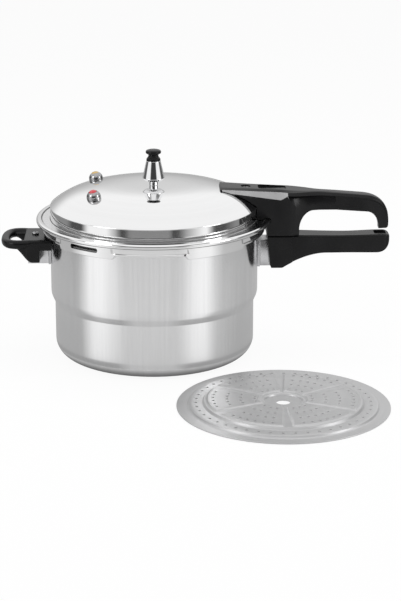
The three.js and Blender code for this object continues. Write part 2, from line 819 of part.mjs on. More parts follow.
// Acorn cap screwed on the stem, with a round eye in its top.
function valveCap() {
  const hollow = valveHole;
  const roof = valveStemHeight + touchGap;
  const domeHeight = capHeight - capSkirt;
  const eyeAngle = Math.acos(capEye / capRadius);
  const dome = [];
  const steps = 5;
  for (let i = 0; i <= steps; i += 1) {
    const angle = (eyeAngle * i) / steps;
    dome.push([capRadius * Math.cos(angle), capSkirt + domeHeight * Math.sin(angle)]);
  }
  const profile = [[hollow, touchGap], [capRadius, touchGap], ...dome, [capEye, roof], [hollow, roof]];
  return turned(profile, smallSides);
}

function eyeTop() {
  return capSkirt + (capHeight - capSkirt) * Math.sin(Math.acos(capEye / capRadius));
}

// Fusible plug in the eye of the safety valve's cap.
function safetyPlug() {
  const radius = capEye - touchGap;
  const foot = valveStemHeight + touchGap;
  const top = eyeTop() + plugProud;
  const profile = [[0, foot], [radius, foot], [radius, top - plugProud], [radius * 0.6, top], [0, top]];
  return turned(profile, smallSides);
}

// Indicator pin: its head shows in the eye, and its foot stops it from below.
function indicatorPin() {
  const head = capEye - touchGap;
  const headFoot = valveStemHeight + touchGap;
  const top = eyeTop() + plugProud;
  const shank = valveBore - boltGap;
  const footTop = pinFootTop();
  const profile = [
    [0, footTop - pinFootThick],
    [pinFootRadius, footTop - pinFootThick],
    [pinFootRadius, footTop],
    [shank, footTop],
    [shank, headFoot],
    [head, headFoot],
    [head, top - plugProud],
    [head * 0.6, top],
    [0, top],
  ];
  return turned(profile, smallSides);
}

function pinFootTop() {
  const seatFoot = -lidSheet - valveSeatGap - valveWasherThick - touchGap - valveFlangeThick;
  return seatFoot - pinTravel - 2 * touchGap - pinSealThick;
}

function indicatorSeal() {
  const foot = pinFootTop() + touchGap;
  const inner = valveBore - boltGap + touchGap;
  return turned(ringProfile(inner, pinFootRadius, foot, foot + pinSealThick), smallSides);
}

// Bracket welded to the lid under the handle's head, with a hole for the screw.
function lidBracket() {
  const low = crownAt(lidBracketEnd) - lidSheet;
  const top = lidHandleTop - lidBracketCover;
  const body = block([lidBracketStart, -lidBracketHalf, low], [lidBracketEnd, lidBracketHalf, top]);
  const hole = bar(screwRadius + boltGap, lidScrewEnd() - touchGap, top + overcut, screwSides);
  return body
    .subtract(lidEnvelope(touchGap, low - overcut))
    .subtract(hole.translate([lidScrewX, 0, 0]));
}

function lidScrewEnd() {
  return crownAt(lidScrewX) + lidScrewGrip;
}

function lidScrewHeadFoot() {
  return lidHandleTop - lidScrewSunk - screwHeadThick;
}

// Handle on the lid: a head on the crown, a block over the rim, a grip and a hook.
function lidHandle() {
  const neck = rimRadius - rimThick;
  const headEnd = lidHandleFront + lidHeadLength;
  const headEndTop = lidHandleTop - lidHandleFall;
  const blockEnd = rimRadius + lidBlockReach;
  const gripBottom = handleTop + fingerGap;
  const gripTop = gripBottom + lidGripThick;
  const gripStart = blockEnd + lidBlockFillet;
  const hookBack = potHandleEnd - hookInset;
  const hookFront = hookBack - hookThick;
  const hookFoot = handleTop + hookGap;
  const hookTop = gripTop - lidGripFall;
  const bend = hookFront - hookThick;
  const archBottom = gripBottom - gripArch;
  const side = new THREE.Shape();
  side.moveTo(lidHandleFront, crownAt(lidHandleFront) - lidSheet);
  side.lineTo(lidHandleFront, lidHandleTop - lidHandleEdge);
  side.lineTo(lidHandleFront + lidHandleEdge, lidHandleTop);
  side.lineTo(headEnd, headEndTop);
  side.lineTo(gripStart, gripTop);
  side.lineTo(bend, hookTop);
  side.bezierCurveTo(
    hookFront, hookTop, hookBack - hookThick / 3, hookTop - hookThick,
    hookBack, hookFoot + hookThick / 2,
  );
  side.lineTo(hookBack, hookFoot);
  side.lineTo(hookFront, hookFoot);
  side.quadraticCurveTo(hookFront, archBottom, bend, archBottom);
  side.lineTo(gripStart, gripBottom);
  side.quadraticCurveTo(blockEnd, gripBottom, blockEnd, gripBottom - lidBlockFillet);
  side.lineTo(blockEnd, lidBlockFoot);
  side.lineTo(neck, lidBlockFoot);
  side.lineTo(neck, flangeTop);
  side.lineTo(lidBracketEnd, flangeTop);
  const plan = new THREE.Shape();
  const gripEnd = gripStart + lidBlockFillet;
  plan.moveTo(lidHandleFront, -lidHeadHalf + lidHandleEdge);
  plan.lineTo(lidHandleFront + lidHandleEdge, -lidHeadHalf);
  plan.lineTo(headEnd, -lidHeadHalf);
  plan.bezierCurveTo(blockEnd, -lidHeadHalf, blockEnd, -lidGripHalf, gripEnd, -lidGripHalf);
  plan.lineTo(bend, -lidGripHalf);
  plan.quadraticCurveTo(hookFront, -lidGripHalf, hookBack, -hookHalf);
  plan.lineTo(hookBack, hookHalf);
  plan.quadraticCurveTo(hookFront, lidGripHalf, bend, lidGripHalf);
  plan.lineTo(gripEnd, lidGripHalf);
  plan.bezierCurveTo(blockEnd, lidGripHalf, blockEnd, lidHeadHalf, headEnd, lidHeadHalf);
  plan.lineTo(lidHandleFront + lidHandleEdge, lidHeadHalf);
  plan.lineTo(lidHandleFront, lidHeadHalf - lidHandleEdge);
  const top = Math.max(lidHandleTop, gripTop) + overcut;
  const body = sideSlab(side, lidHeadHalf + overcut, 6);
  const footprint = raised(plan, lidBlockFoot - overcut, top, 5);
  const low = crownAt(lidBracketEnd) - 2 * lidSheet;
  const bracketSpace = block(
    [lidBracketStart - touchGap, -lidBracketHalf - touchGap, low],
    [lidBracketEnd + touchGap, lidBracketHalf + touchGap, lidHandleTop - lidBracketCover + touchGap],
  );
  const shank = bar(screwRadius + boltGap, low, top, screwSides);
  const well = bar(lidScrewWell, lidScrewHeadFoot() - touchGap, top, smallSides);
  const plateStart = lidWallRadius - lidPlateInset;
  const plate = block(
    [plateStart, -lidPlateHalf, headEndTop - lidPlateDepth],
    [plateStart + lidPlateLength, lidPlateHalf, top],
  );
  return body
    .intersect(footprint)
    .subtract(lidEnvelope(2 * touchGap, lidBlockFoot - overcut))
    .subtract(bracketSpace)
    .subtract(shank.add(well).translate([lidScrewX, 0, 0]))
    .subtract(plate);
}

// Steam rack: a pressed plate in three levels, with a ring of holes and six panels of holes.
function steamRack() {
  const outer = potRadius - potWall - stepInset + rackLedge;
  const band = outer - rackRim;
  const floor = band - rackSlope - rackBand;
  const field = floor - rackSlope;
  const low = 0;
  const middle = low + rackRise;
  const high = middle + rackRise;
  const levels = [
    [outer, low],
    [band, low],
    [band - rackSlope, middle],
    [floor, middle],
    [field, high],
    [rackHub + rackSlope, high],
    [rackHub, middle],
    [rackEye, middle],
  ];
  const upper = levels.map(([radius, height]) => [radius, height + rackSheet]).reverse();
  let plate = turned([...levels, ...upper], turnSides);
  const drill = (radius, angle, height) => {
    const hole = bar(rackHoleRadius, height - overcut, height + rackSheet + overcut, rackHoleSides);
    const place = [radius * Math.cos(angle), radius * Math.sin(angle), 0];
    plate = plate.subtract(hole.translate(place));
  };
  for (let i = 0; i < rackHoles; i += 1) {
    drill((band - rackSlope + floor) / 2, (i * 2 * Math.PI) / rackHoles, middle);
  }
  const rowFirst = rackHub + rackSlope + rackPanelEdge;
  const rowPitch = (field - rackPanelEdge - rowFirst) / (rackPanelRows.length - 1);
  for (let panel = 0; panel < rackPanels; panel += 1) {
    const heading = (panel * 2 * Math.PI) / rackPanels;
    rackPanelRows.forEach((count, row) => {
      const radius = rowFirst + row * rowPitch;
      for (let i = 0; i < count; i += 1) {
        const turn = (i - (count - 1) / 2) * (rackPanelArc / count);
        drill(radius, heading + turn, high);
      }
    });
  }
  return plate.translate([rackX, rackY, 0]);
}

const cooker = new THREE.Group();
const pot = new THREE.Group();
const lid = new THREE.Group();
const safetyValve = new THREE.Group();
const indicator = new THREE.Group();
cooker.add(pot, lid);
lid.add(safetyValve, indicator);
safetyValve.applyMatrix4(valveFrame(1));
indicator.applyMatrix4(valveFrame(-1));

piece(pot, "pot_shell", potShell(), "satinAluminium");
piece(pot, "pot_handle_bracket", bracket(potBracketHalf, potBracketFoot), "steel");
piece(pot, "pot_handle", potHandle(), "phenolic");
piece(pot, "pot_handle_screw", handleScrew(potWellFloor() + touchGap), "chrome");
piece(pot, "pot_handle_nut", handleNut(), "steel");
const helper = new THREE.Group();
helper.rotation.z = Math.PI;
pot.add(helper);
piece(helper, "helper_handle_bracket", bracket(helperBracketHalf, helperBracketFoot), "steel");
piece(helper, "helper_handle_screw", handleScrew(handleTop + touchGap), "chrome");
piece(helper, "helper_handle_nut", handleNut(), "steel");
piece(pot, "helper_handle", helperHandle(), "phenolic");
["lower", "upper"].forEach((row, index) => {
  piece(pot, `pot_handle_rivet_${row}`, rivet(rivetHeights(potBracketFoot)[index]), "steel");
  piece(helper, `helper_handle_rivet_${row}`, rivet(rivetHeights(helperBracketFoot)[index]), "steel");
});

piece(lid, "lid_shell", lidShell(), "polishedAluminium");
piece(lid, "lid_gasket", gasket(), "rubber");
piece(lid, "lid_handle_bracket", lidBracket(), "steel");
piece(lid, "lid_handle", lidHandle(), "phenolic");
piece(lid, "lid_handle_screw", panScrew(lidScrewX, lidScrewEnd(), lidScrewHeadFoot()), "chrome");
piece(lid, "vent_pipe", ventPipe(), "chrome");
piece(lid, "vent_washer", ventWasher(), "rubber");
const nutTop = ventNutTop();
piece(lid, "vent_nut", hexNut(ventNutFlats, ventHole, nutTop - ventNutThick, nutTop), "steel");
piece(lid, "vent_strainer", ventStrainer(), "steel");
piece(lid, "regulator_weight", regulatorWeight(), "chrome");
piece(lid, "regulator_knob", regulatorKnob(), "phenolic");
piece(lid, "regulator_stud", regulatorStud(), "steel");

piece(safetyValve, "safety_valve_seat", valveSeat(), "steel");
piece(safetyValve, "safety_valve_washer", valveWasher(), "rubber");
piece(safetyValve, "safety_valve_cap", valveCap(), "chrome");
piece(safetyValve, "safety_valve_plug", safetyPlug(), "amberAlloy");
piece(indicator, "indicator_seat", valveSeat(), "steel");
piece(indicator, "indicator_washer", valveWasher(), "rubber");
piece(indicator, "indicator_cap", valveCap(), "chrome");
piece(indicator, "indicator_pin", indicatorPin(), "redPlastic");
piece(indicator, "indicator_seal", indicatorSeal(), "rubber");

piece(cooker, "steam_rack", steamRack(), "satinAluminium");

export default cooker;
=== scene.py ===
"""Dresses a stovetop pressure cooker: spun pot, polished lid, black handles, valves and steam rack."""
import math

import bmesh
import bpy
from mathutils import Matrix, Vector


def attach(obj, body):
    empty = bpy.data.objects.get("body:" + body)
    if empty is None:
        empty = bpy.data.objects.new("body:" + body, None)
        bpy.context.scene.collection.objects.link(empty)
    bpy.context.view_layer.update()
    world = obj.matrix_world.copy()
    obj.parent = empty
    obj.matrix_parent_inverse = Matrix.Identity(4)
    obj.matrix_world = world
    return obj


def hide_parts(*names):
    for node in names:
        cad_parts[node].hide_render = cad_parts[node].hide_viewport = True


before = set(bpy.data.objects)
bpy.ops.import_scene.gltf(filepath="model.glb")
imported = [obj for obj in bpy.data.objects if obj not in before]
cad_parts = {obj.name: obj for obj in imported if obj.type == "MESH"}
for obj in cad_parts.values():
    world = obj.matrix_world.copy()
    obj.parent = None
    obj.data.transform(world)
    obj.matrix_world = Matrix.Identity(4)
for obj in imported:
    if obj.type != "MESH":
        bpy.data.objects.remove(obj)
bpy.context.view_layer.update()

# Pot shell: an aluminium pot drawn from sheet, with a step low on its wall that gives the rack a ledge.
# It is spun and left satin outside, and five lugs formed under its rim hold the lid.
# Sizes are in millimetres, with the middle of the pot's base at the origin.
MM = 0.001
touch_gap = 0.3
pot_radius = 123
pot_height = 159
pot_wall = 3
step_inset = 4.5
step_foot = 66
step_rise = 10
base_corner = 20
rim_edge = 1.3
band_foot = 149.4
lug_count = 5
lug_pitch = 2 * math.pi / lug_count
lug_arc = math.radians(34)
lug_middle = math.radians(88)
lug_reach = 4.7
lug_top = 154
lug_thick = 3.5


def linked(name, mesh):
    """A new object at the origin that shows this mesh."""
    piece = bpy.data.objects.new(name, mesh)
    bpy.context.scene.collection.objects.link(piece)
    return piece


def meshed(name, points, faces, uv=()):
    """A piece from points in millimetres, with uv pairs for the corners of its faces in turn."""
    mesh = bpy.data.meshes.new(name)
    mesh.from_pydata([[MM * value for value in point] for point in points], [], faces)
    if uv:
        layer = mesh.uv_layers.new(name="turned")
        layer.data.foreach_set("uv", [value for pair in uv for value in pair])
    return linked(name, mesh)


def settled(piece, crease=34):
    """Merges doubles, points the faces outwards, and shades smooth up to a crease in degrees."""
    shape = bmesh.new()
    shape.from_mesh(piece.data)
    bmesh.ops.remove_doubles(shape, verts=shape.verts, dist=0.004 * MM)
    bmesh.ops.dissolve_degenerate(shape, edges=shape.edges, dist=0.002 * MM)
    bmesh.ops.recalc_face_normals(shape, faces=shape.faces)
    shape.to_mesh(piece.data)
    shape.free()
    piece.data.shade_smooth()
    piece.data.set_sharp_from_angle(angle=math.radians(crease))
    return piece


def rounded(outline):
    """The points of an outline in a plane, where a corner's third number is the radius that rounds it.

    A narrow strip at both ends of a rounding keeps the shading of the flats beside it flat.
    """
    points = []
    for i, (x, y, *radius) in enumerate(outline):
        here = Vector((x, y))
        if not radius:
            points.append(here)
            continue
        steps = 4 if radius[0] < 2.5 else 8 if radius[0] < 9 else 16
        before = Vector(outline[i - 1][:2]) - here
        after = Vector(outline[(i + 1) % len(outline)][:2]) - here
        shorter = min(before.length, after.length)
        half = before.angle(after) / 2 if shorter > 1e-6 else 0
        if half < 0.01 or half > 1.565:
            points += [here] * (steps + 3)
            continue
        back = min(radius[0] / math.tan(half), 0.49 * shorter)
        strips = [min(0.3, 0.8 * (side.length / 2 - back)) for side in (before, after)]
        before.normalize()
        after.normalize()
        centre = here + (before + after).normalized() * (back / math.cos(half))
        first = here + before * back - centre
        last = here + after * back - centre
        sweep = math.atan2(first.cross(last), first.dot(last))
        points.append(here + before * (back + strips[0]))
        points += [centre + Matrix.Rotation(sweep * k / steps, 2) @ first for k in range(steps + 1)]
        points.append(here + after * (back + strips[1]))
    return points


def turned(name, outline, sides=180, angles=None, place=Matrix()):
    """A piece turned about Z from (radius, height, rounding) corners, or from a function of the angle."""
    angles = angles or [2 * math.pi * i / sides for i in range(sides)]
    rings = [rounded(outline(angle) if callable(outline) else outline) for angle in angles]
    count = len(rings[0])
    on_axis = rings[0][0].x == 0 and rings[0][-1].x == 0
    points = []
    for angle, ring in zip(angles, rings):
        for radius, height in ring:
            points.append(place @ Vector((radius * math.cos(angle), radius * math.sin(angle), height)))
    along = [0]
    for a, b in zip(rings[0], rings[0][1:] + rings[0][:1]):
        along.append(along[-1] + (b - a).length * MM)
    faces = []
    uv = []
    for i, angle in enumerate(angles):
        j = (i + 1) % len(angles)
        u = angle / (2 * math.pi)
        u_next = angles[j] / (2 * math.pi) if j else 1
        for k in range(count - 1 if on_axis else count):
            m = (k + 1) % count
            faces.append((i * count + k, j * count + k, j * count + m, i * count + m))
            uv += [(u, along[k]), (u_next, along[k]), (u_next, along[k + 1]), (u, along[k + 1])]
    return settled(meshed(name, points, faces, uv))


def ring_part(name, inner, outer, foot, top, arc, edge, middle=0):
    """Part of a ring about Z, with its long edges rounded."""
    section = rounded([(inner, foot, edge), (outer, foot, edge), (outer, top, edge), (inner, top, edge)])
    steps = max(4, math.ceil(math.degrees(arc) / 2))
    points = []
    for i in range(steps + 1):
        angle = middle + arc * (i / steps - 0.5)
        points += [(r * math.cos(angle), r * math.sin(angle), z) for r, z in section]
    return lofted(name, points, len(section))


def lofted(name, points, count):
    """A closed piece through rows of count points each, with its two ends capped."""
    rows = len(points) // count
    faces = [tuple(range(count)), tuple(range((rows - 1) * count, rows * count))]
    for i in range(rows - 1):
        for k in range(count):
            m = (k + 1) % count
            faces.append((i * count + k, (i + 1) * count + k, (i + 1) * count + m, i * count + m))
    return settled(meshed(name, points, faces))


def baked(piece):
    """Turns a piece's modifiers into plain mesh."""
    bpy.context.view_layer.update()
    made = piece.evaluated_get(bpy.context.evaluated_depsgraph_get())
    mesh = bpy.data.meshes.new_from_object(made)
    piece.modifiers.clear()
    piece.data = mesh
    return piece


def combined(piece, other, operation, crease=34):
    """Cuts another piece out of this one with DIFFERENCE, or joins it with UNION. The other is used up."""
    modifier = piece.modifiers.new("worked", "BOOLEAN")
    modifier.operation = operation
    modifier.solver = "EXACT"
    modifier.object = other
    baked(piece)
    bpy.data.objects.remove(other)
    settled(piece, crease)


def add(tree, kind, inputs=(), **settings):
    """A node with its settings and inputs, where an input is a value or another node's output."""
    made = tree.nodes.new(kind)
    for key, value in settings.items():
        setattr(made, key, value)
    for socket, value in dict(inputs).items():
        if isinstance(value, bpy.types.NodeSocket):
            tree.links.new(value, made.inputs[socket])
        else:
            made.inputs[socket].default_value = value
    return made


def node_group(name, kind, inputs, outputs):
    """A node group with named sockets, and its input and output nodes."""
    tree = bpy.data.node_groups.new(name, kind)
    for label, socket, value in inputs:
        made = tree.interface.new_socket(label, in_out="INPUT", socket_type=socket)
        if value is not None:
            made.default_value = value
    for label, socket in outputs:
        tree.interface.new_socket(label, in_out="OUTPUT", socket_type=socket)
    return tree, tree.nodes.new("NodeGroupInput"), tree.nodes.new("NodeGroupOutput")


# The tree sets copies of one piece round an upright axis, a step apart.
around_axis, given, result = node_group(
    "around_axis", "GeometryNodeTree",
    [("Piece", "NodeSocketObject", None), ("Count", "NodeSocketInt", 1),
     ("First angle", "NodeSocketFloat", 0.0), ("Step", "NodeSocketFloat", 0.0),
     ("Material", "NodeSocketMaterial", None)],
    [("Geometry", "NodeSocketGeometry")])
copies = add(around_axis, "GeometryNodePoints", {"Count": given.outputs["Count"]})
order = add(around_axis, "GeometryNodeInputIndex")
turn = add(around_axis, "ShaderNodeMath", operation="MULTIPLY_ADD", inputs={
    0: order.outputs[0], 1: given.outputs["Step"], 2: given.outputs["First angle"]})
heading = add(around_axis, "ShaderNodeCombineXYZ", {"Z": turn.outputs[0]})
shape = add(around_axis, "GeometryNodeObjectInfo", {"Object": given.outputs["Piece"]})
placed = add(around_axis, "GeometryNodeInstanceOnPoints", {
    "Points": copies.outputs[0], "Instance": shape.outputs["Geometry"], "Rotation": heading.outputs[0]})
real = add(around_axis, "GeometryNodeRealizeInstances", {"Geometry": placed.outputs[0]})
finished = add(around_axis, "GeometryNodeSetMaterial", {
    "Geometry": real.outputs[0], "Material": given.outputs["Material"]})
around_axis.links.new(finished.outputs[0], result.inputs["Geometry"])


def repeated(name, part, count, first, step, material):
    """Copies of a part round the Z axis as one plain mesh with this finish. The part is used up."""
    row = linked(name, bpy.data.meshes.new(name))
    modifier = row.modifiers.new("around", "NODES")
    modifier.node_group = around_axis
    values = {"Piece": part, "Count": count, "First angle": first, "Step": step, "Material": material}
    for socket in around_axis.interface.items_tree:
        if socket.in_out == "INPUT":
            modifier[socket.identifier] = values[socket.name]
    baked(row)
    bpy.data.objects.remove(part)
    return row


# The groups below are shared finishes: lines left by turning, and the faint haze of a polishing wheel.
turning_lines, given, result = node_group(
    "turning_lines", "ShaderNodeTree",
    [("Surface", "NodeSocketVector", None), ("Around", "NodeSocketFloat", 5.0),
     ("Across", "NodeSocketFloat", 2500.0)],
    [("Lines", "NodeSocketFloat"), ("Bands", "NodeSocketFloat")])
spread = add(turning_lines, "ShaderNodeCombineXYZ", {
    "X": given.outputs["Around"], "Y": given.outputs["Across"]})
stretched = add(turning_lines, "ShaderNodeVectorMath", operation="MULTIPLY", inputs={
    0: given.outputs["Surface"], 1: spread.outputs[0]})
fine = add(turning_lines, "ShaderNodeTexNoise", {"Vector": stretched.outputs[0], "Scale": 1, "Detail": 3})
broad = add(turning_lines, "ShaderNodeTexNoise", {"Vector": stretched.outputs[0], "Scale": 0.06, "Detail": 2})
turning_lines.links.new(fine.outputs["Fac"], result.inputs["Lines"])
turning_lines.links.new(broad.outputs["Fac"], result.inputs["Bands"])

polish_haze, given, result = node_group(
    "polish_haze", "ShaderNodeTree",
    [("Surface", "NodeSocketVector", None), ("Scale", "NodeSocketFloat", 14.0)],
    [("Haze", "NodeSocketFloat")])
cloud = add(polish_haze, "ShaderNodeTexNoise", {
    "Vector": given.outputs["Surface"], "Scale": given.outputs["Scale"], "Detail": 5, "Roughness": 0.6})
polish_haze.links.new(cloud.outputs["Fac"], result.inputs["Haze"])


def effect(tree, group, inputs):
    """A shared effect placed in a material with its own values."""
    return add(tree, "ShaderNodeGroup", inputs, node_tree=group).outputs


def between(tree, mask, low, high):
    """A mask in its usual range of 0.3 to 0.7, spread between two values."""
    made = add(tree, "ShaderNodeMapRange", {
        "Value": mask, "From Min": 0.3, "From Max": 0.7, "To Min": low, "To Max": high})
    return made.outputs["Result"]


def tinted(tree, mask, dark, light):
    """A colour between two greys or tints, by a mask."""
    mixed = add(tree, "ShaderNodeMix", data_type="RGBA")
    tree.links.new(between(tree, mask, 0, 1), mixed.inputs["Factor"])
    mixed.inputs["A"].default_value = (*dark, 1)
    mixed.inputs["B"].default_value = (*light, 1)
    return next(s for s in mixed.outputs if s.type == "RGBA")


def finish(name, **settings):
    """A new material, its node tree and its shader, with constants set on the shader."""
    material = bpy.data.materials.new(name)
    material.use_nodes = True
    shader = material.node_tree.nodes["Principled BSDF"]
    for socket, value in settings.items():
        shader.inputs[socket.replace("_", " ")].default_value = value
    return material, material.node_tree, shader.inputs


def bump(tree, height, strength, distance):
    """A normal from a height, where the distance is in millimetres."""
    return add(tree, "ShaderNodeBump", {
        "Height": height, "Strength": strength, "Distance": distance * MM}).outputs["Normal"]


def turned_metal(name, dark, light, smooth, rough, relief, anisotropic=0.0, across=2500.0, painted_streaks=False):
    """Metal worked on a lathe: its highlights stretch across the fine lines left by the tool.

    Across counts those lines to a metre. Streaked metal also shows faint upright streaks in its colour, a
    painted reflection stretched upright.
    """
    material, tree, shader = finish(name, Metallic=1, Anisotropic=anisotropic, Anisotropic_Rotation=0.25)
    place = add(tree, "ShaderNodeTexCoord")
    lines = effect(tree, turning_lines, {"Surface": place.outputs["UV"], "Across": across})
    haze = effect(tree, polish_haze, {"Surface": place.outputs["Object"]})
    tangent = add(tree, "ShaderNodeTangent", direction_type="UV_MAP", uv_map="turned")
    tree.links.new(tangent.outputs[0], shader["Tangent"])
    shade = lines["Bands"]
    if painted_streaks:
        painted_reflection_streaks = effect(tree, turning_lines, {
            "Surface": place.outputs["UV"], "Around": 300.0, "Across": 7.0})
        shade = painted_reflection_streaks["Lines"]
    tree.links.new(tinted(tree, shade, dark, light), shader["Base Color"])
    tree.links.new(between(tree, haze["Haze"], smooth, rough), shader["Roughness"])
    tree.links.new(bump(tree, lines["Lines"], relief, 0.05), shader["Normal"])
    return material


def coated(piece, *materials):
    """Gives a piece these finishes in place of what it had. Its faces take the first."""
    piece.data.materials.clear()
    for material in materials:
        piece.data.materials.append(material)


def dressed(piece, material, body, node):
    """Gives a piece its finish unless it has several, hangs it on its body, and hides the CAD node it stands
    for.
    """
    if len(piece.data.materials) < 2 or piece.data.materials[0] is None:
        coated(piece, material)
    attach(piece, body)
    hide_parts(node)


# The pot's satin carries upright streaks in its colour: painted reflections, stretched upright.
satin_aluminium = turned_metal(
    "satin_aluminium", (0.855, 0.855, 0.86), (0.9, 0.9, 0.905), 0.15, 0.2, 0.03, 0.85, painted_streaks=True)
lower_radius = pot_radius - step_inset
pot_shell = turned("pot_shell_spun", [
    (0, 0),
    (lower_radius, 0, base_corner),
    (lower_radius, step_foot, 2.2),
    (pot_radius, step_foot + step_rise, 18),
    (pot_radius, band_foot - 0.4),
    (pot_radius, pot_height, rim_edge),
    (pot_radius - pot_wall, pot_height, rim_edge),
    (pot_radius - pot_wall, step_foot + step_rise, 8),
    (lower_radius - pot_wall, step_foot, 3),
    (lower_radius - pot_wall, pot_wall, base_corner - pot_wall),
    (0, pot_wall)], sides=240)
lug = ring_part(
    "lug", pot_radius - pot_wall / 2, pot_radius + lug_reach, lug_top - lug_thick, lug_top, lug_arc, 0.8)
lugs = repeated("lugs", lug, lug_count, lug_middle, lug_pitch, satin_aluminium)
combined(pot_shell, lugs, "UNION")
rivet_shank = 3
drill_start = 100
drill_end = 140
bracket_top = 139
rivet_inset = 7.2
bracket_feet = {"pot": 108, "helper": 114}
sides_of = {"pot": 1, "helper": -1}


def rivet_heights(handle):
    """Heights of the lower and the upper rivet of a handle's bracket."""
    return bracket_feet[handle] + rivet_inset, bracket_top - rivet_inset


def outward(side, height):
    """Place of something that points away from the pot's wall, on the handle's side or the helper's."""
    return Matrix.Translation((0, 0, height)) @ Matrix.Rotation(side * math.pi / 2, 4, "Y")


for handle, side in sides_of.items():
    for height in rivet_heights(handle):
        hole = turned("rivet_hole", [
            (0, drill_start), (rivet_shank, drill_start), (rivet_shank, drill_end), (0, drill_end)],
            sides=32, place=outward(side, height))
        combined(pot_shell, hole, "DIFFERENCE")
# A darker aluminium paints shade where little light reaches: the pot wall's top band and lugs under the lid's
# skirt, and creases of the lid.
painted_shade_aluminium = turned_metal(
    "painted_shade_aluminium", (0.2, 0.2, 0.2), (0.28, 0.28, 0.28), 0.42, 0.55, 0.1)
coated(pot_shell, satin_aluminium, painted_shade_aluminium)
# The wall's top band and the lugs, under the lid's skirt, take the darker metal as painted shade.
for face in pot_shell.data.polygons:
    x, y, z = face.center / MM
    if z > band_foot and math.hypot(x, y) > pot_radius - 1:
        face.material_index = 1
dressed(pot_shell, satin_aluminium, "pot", "pot_shell")

# Handle brackets: a curved plate on the pot's wall with a square channel that the handle slides over.
# They are brushed steel, each fixed by two rivets through the wall.
rivet_head = 4.8
rivet_head_thick = 2.2
bracket_plate = 3
bracket_plate_half = 23
bracket_reach = 26
bracket_halves = {"pot": 13, "helper": 18}


def brushed_metal(name, dark, light, smooth, rough):
    """Sheet metal brushed along its length, with short fine streaks."""
    material, tree, shader = finish(name, Metallic=1)
    place = add(tree, "ShaderNodeTexCoord")
    streaks = effect(tree, turning_lines, {
        "Surface": place.outputs["Object"], "Around": 60.0, "Across": 3000.0})
    haze = effect(tree, polish_haze, {"Surface": place.outputs["Object"], "Scale": 40.0})
    tree.links.new(tinted(tree, streaks["Lines"], dark, light), shader["Base Color"])
    tree.links.new(between(tree, haze["Haze"], smooth, rough), shader["Roughness"])
    tree.links.new(bump(tree, streaks["Lines"], 0.1, 0.05), shader["Normal"])
    return material


def eased_copy(name, node, width):
    """A copy of a CAD node's mesh with its edges eased, for folded or cut metal."""
    piece = linked(name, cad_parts[node].data.copy())
    shape = bmesh.new()
    shape.from_mesh(piece.data)
    bmesh.ops.remove_doubles(shape, verts=shape.verts, dist=0.01 * MM)
    bmesh.ops.dissolve_limit(shape, angle_limit=math.radians(1), verts=shape.verts, edges=shape.edges)
    shape.to_mesh(piece.data)
    shape.free()
    modifier = piece.modifiers.new("eased", "BEVEL")
    modifier.width = width * MM
    modifier.segments = 2
    modifier.limit_method = "ANGLE"
    modifier.angle_limit = math.radians(40)
    piece.data.materials.clear()
    return settled(baked(piece))


brushed_steel = brushed_metal("brushed_steel", (0.52, 0.52, 0.53), (0.64, 0.64, 0.65), 0.2, 0.3)
for handle in sides_of:
    node = f"{handle}_handle_bracket"
    dressed(eased_copy(f"{node}_folded", node, 0.5), brushed_steel, "pot", node)
inside_face = pot_radius - pot_wall - touch_gap
outside_face = pot_radius + bracket_plate + 2 * touch_gap
for handle, side in sides_of.items():
    for row, height in zip(("lower", "upper"), rivet_heights(handle)):
        node = f"{handle}_handle_rivet_{row}"
        rivet = turned(f"{node}_set", [
            (0, inside_face - rivet_head_thick),
            (rivet_head, inside_face - rivet_head_thick, 2),
            (rivet_head, inside_face, 0.3),
            (rivet_shank - 0.1, inside_face),
            (rivet_shank - 0.1, outside_face),
            (rivet_head, outside_face, 0.3),
            (rivet_head, outside_face + rivet_head_thick, 2),
            (0, outside_face + rivet_head_thick)], sides=40, place=outward(side, height))
        dressed(rivet, brushed_steel, "pot", node)
for handle in sides_of:
    node = f"{handle}_handle_nut"
    dressed(eased_copy(f"{node}_cut", node, 0.3), brushed_steel, "pot", node)

# Pot handle: black phenolic, moulded in one piece as a deep block round the bracket that thins to a grip.
# A sunk screw holds it, and a shallow pocket near its end faces the lid handle's hook.
handle_top = 145
screw_x = 140.5
pot_handle_start = 134
pot_handle_end = 279
pot_block_half = 16.5
pot_grip_half = 13
pot_block_foot = 105
pot_grip_foot = 122.4
pot_slant = 4
pot_block_end = 162.5
pot_neck_end = pot_block_end + 2.5
pot_neck_half = pot_grip_half + 1.6
pot_width_line = [(pot_neck_end, pot_neck_half), (206, pot_grip_half), (230, pot_grip_half - 0.5),
                  (262, pot_grip_half + 0.3)]
pot_sag_line = [(150, 0), (225, 1.2), (272, 0)]
pot_rise_start = 152
pot_rise_length = 52
pot_rise_power = 1.9
pocket_start = 261
pocket_end = 275
pocket_half = 8.5
pocket_depth = 2.6
above_handle = 150
screw_head = 4
screw_head_thick = 2.2
bolt_gap = 0.4

moulded_grain, given, result = node_group(
    "moulded_grain", "ShaderNodeTree",
    [("Surface", "NodeSocketVector", None), ("Scale", "NodeSocketFloat", 900.0)],
    [("Grain", "NodeSocketFloat"), ("Flow", "NodeSocketFloat")])
grain = add(moulded_grain, "ShaderNodeTexNoise", {
    "Vector": given.outputs["Surface"], "Scale": given.outputs["Scale"], "Detail": 4, "Roughness": 0.65})
broader = add(moulded_grain, "ShaderNodeMath", {0: given.outputs["Scale"], 1: 0.04}, operation="MULTIPLY")
flow = add(moulded_grain, "ShaderNodeTexNoise", {
    "Vector": given.outputs["Surface"], "Scale": broader.outputs[0], "Detail": 2})
moulded_grain.links.new(grain.outputs["Fac"], result.inputs["Grain"])
moulded_grain.links.new(flow.outputs["Fac"], result.inputs["Flow"])


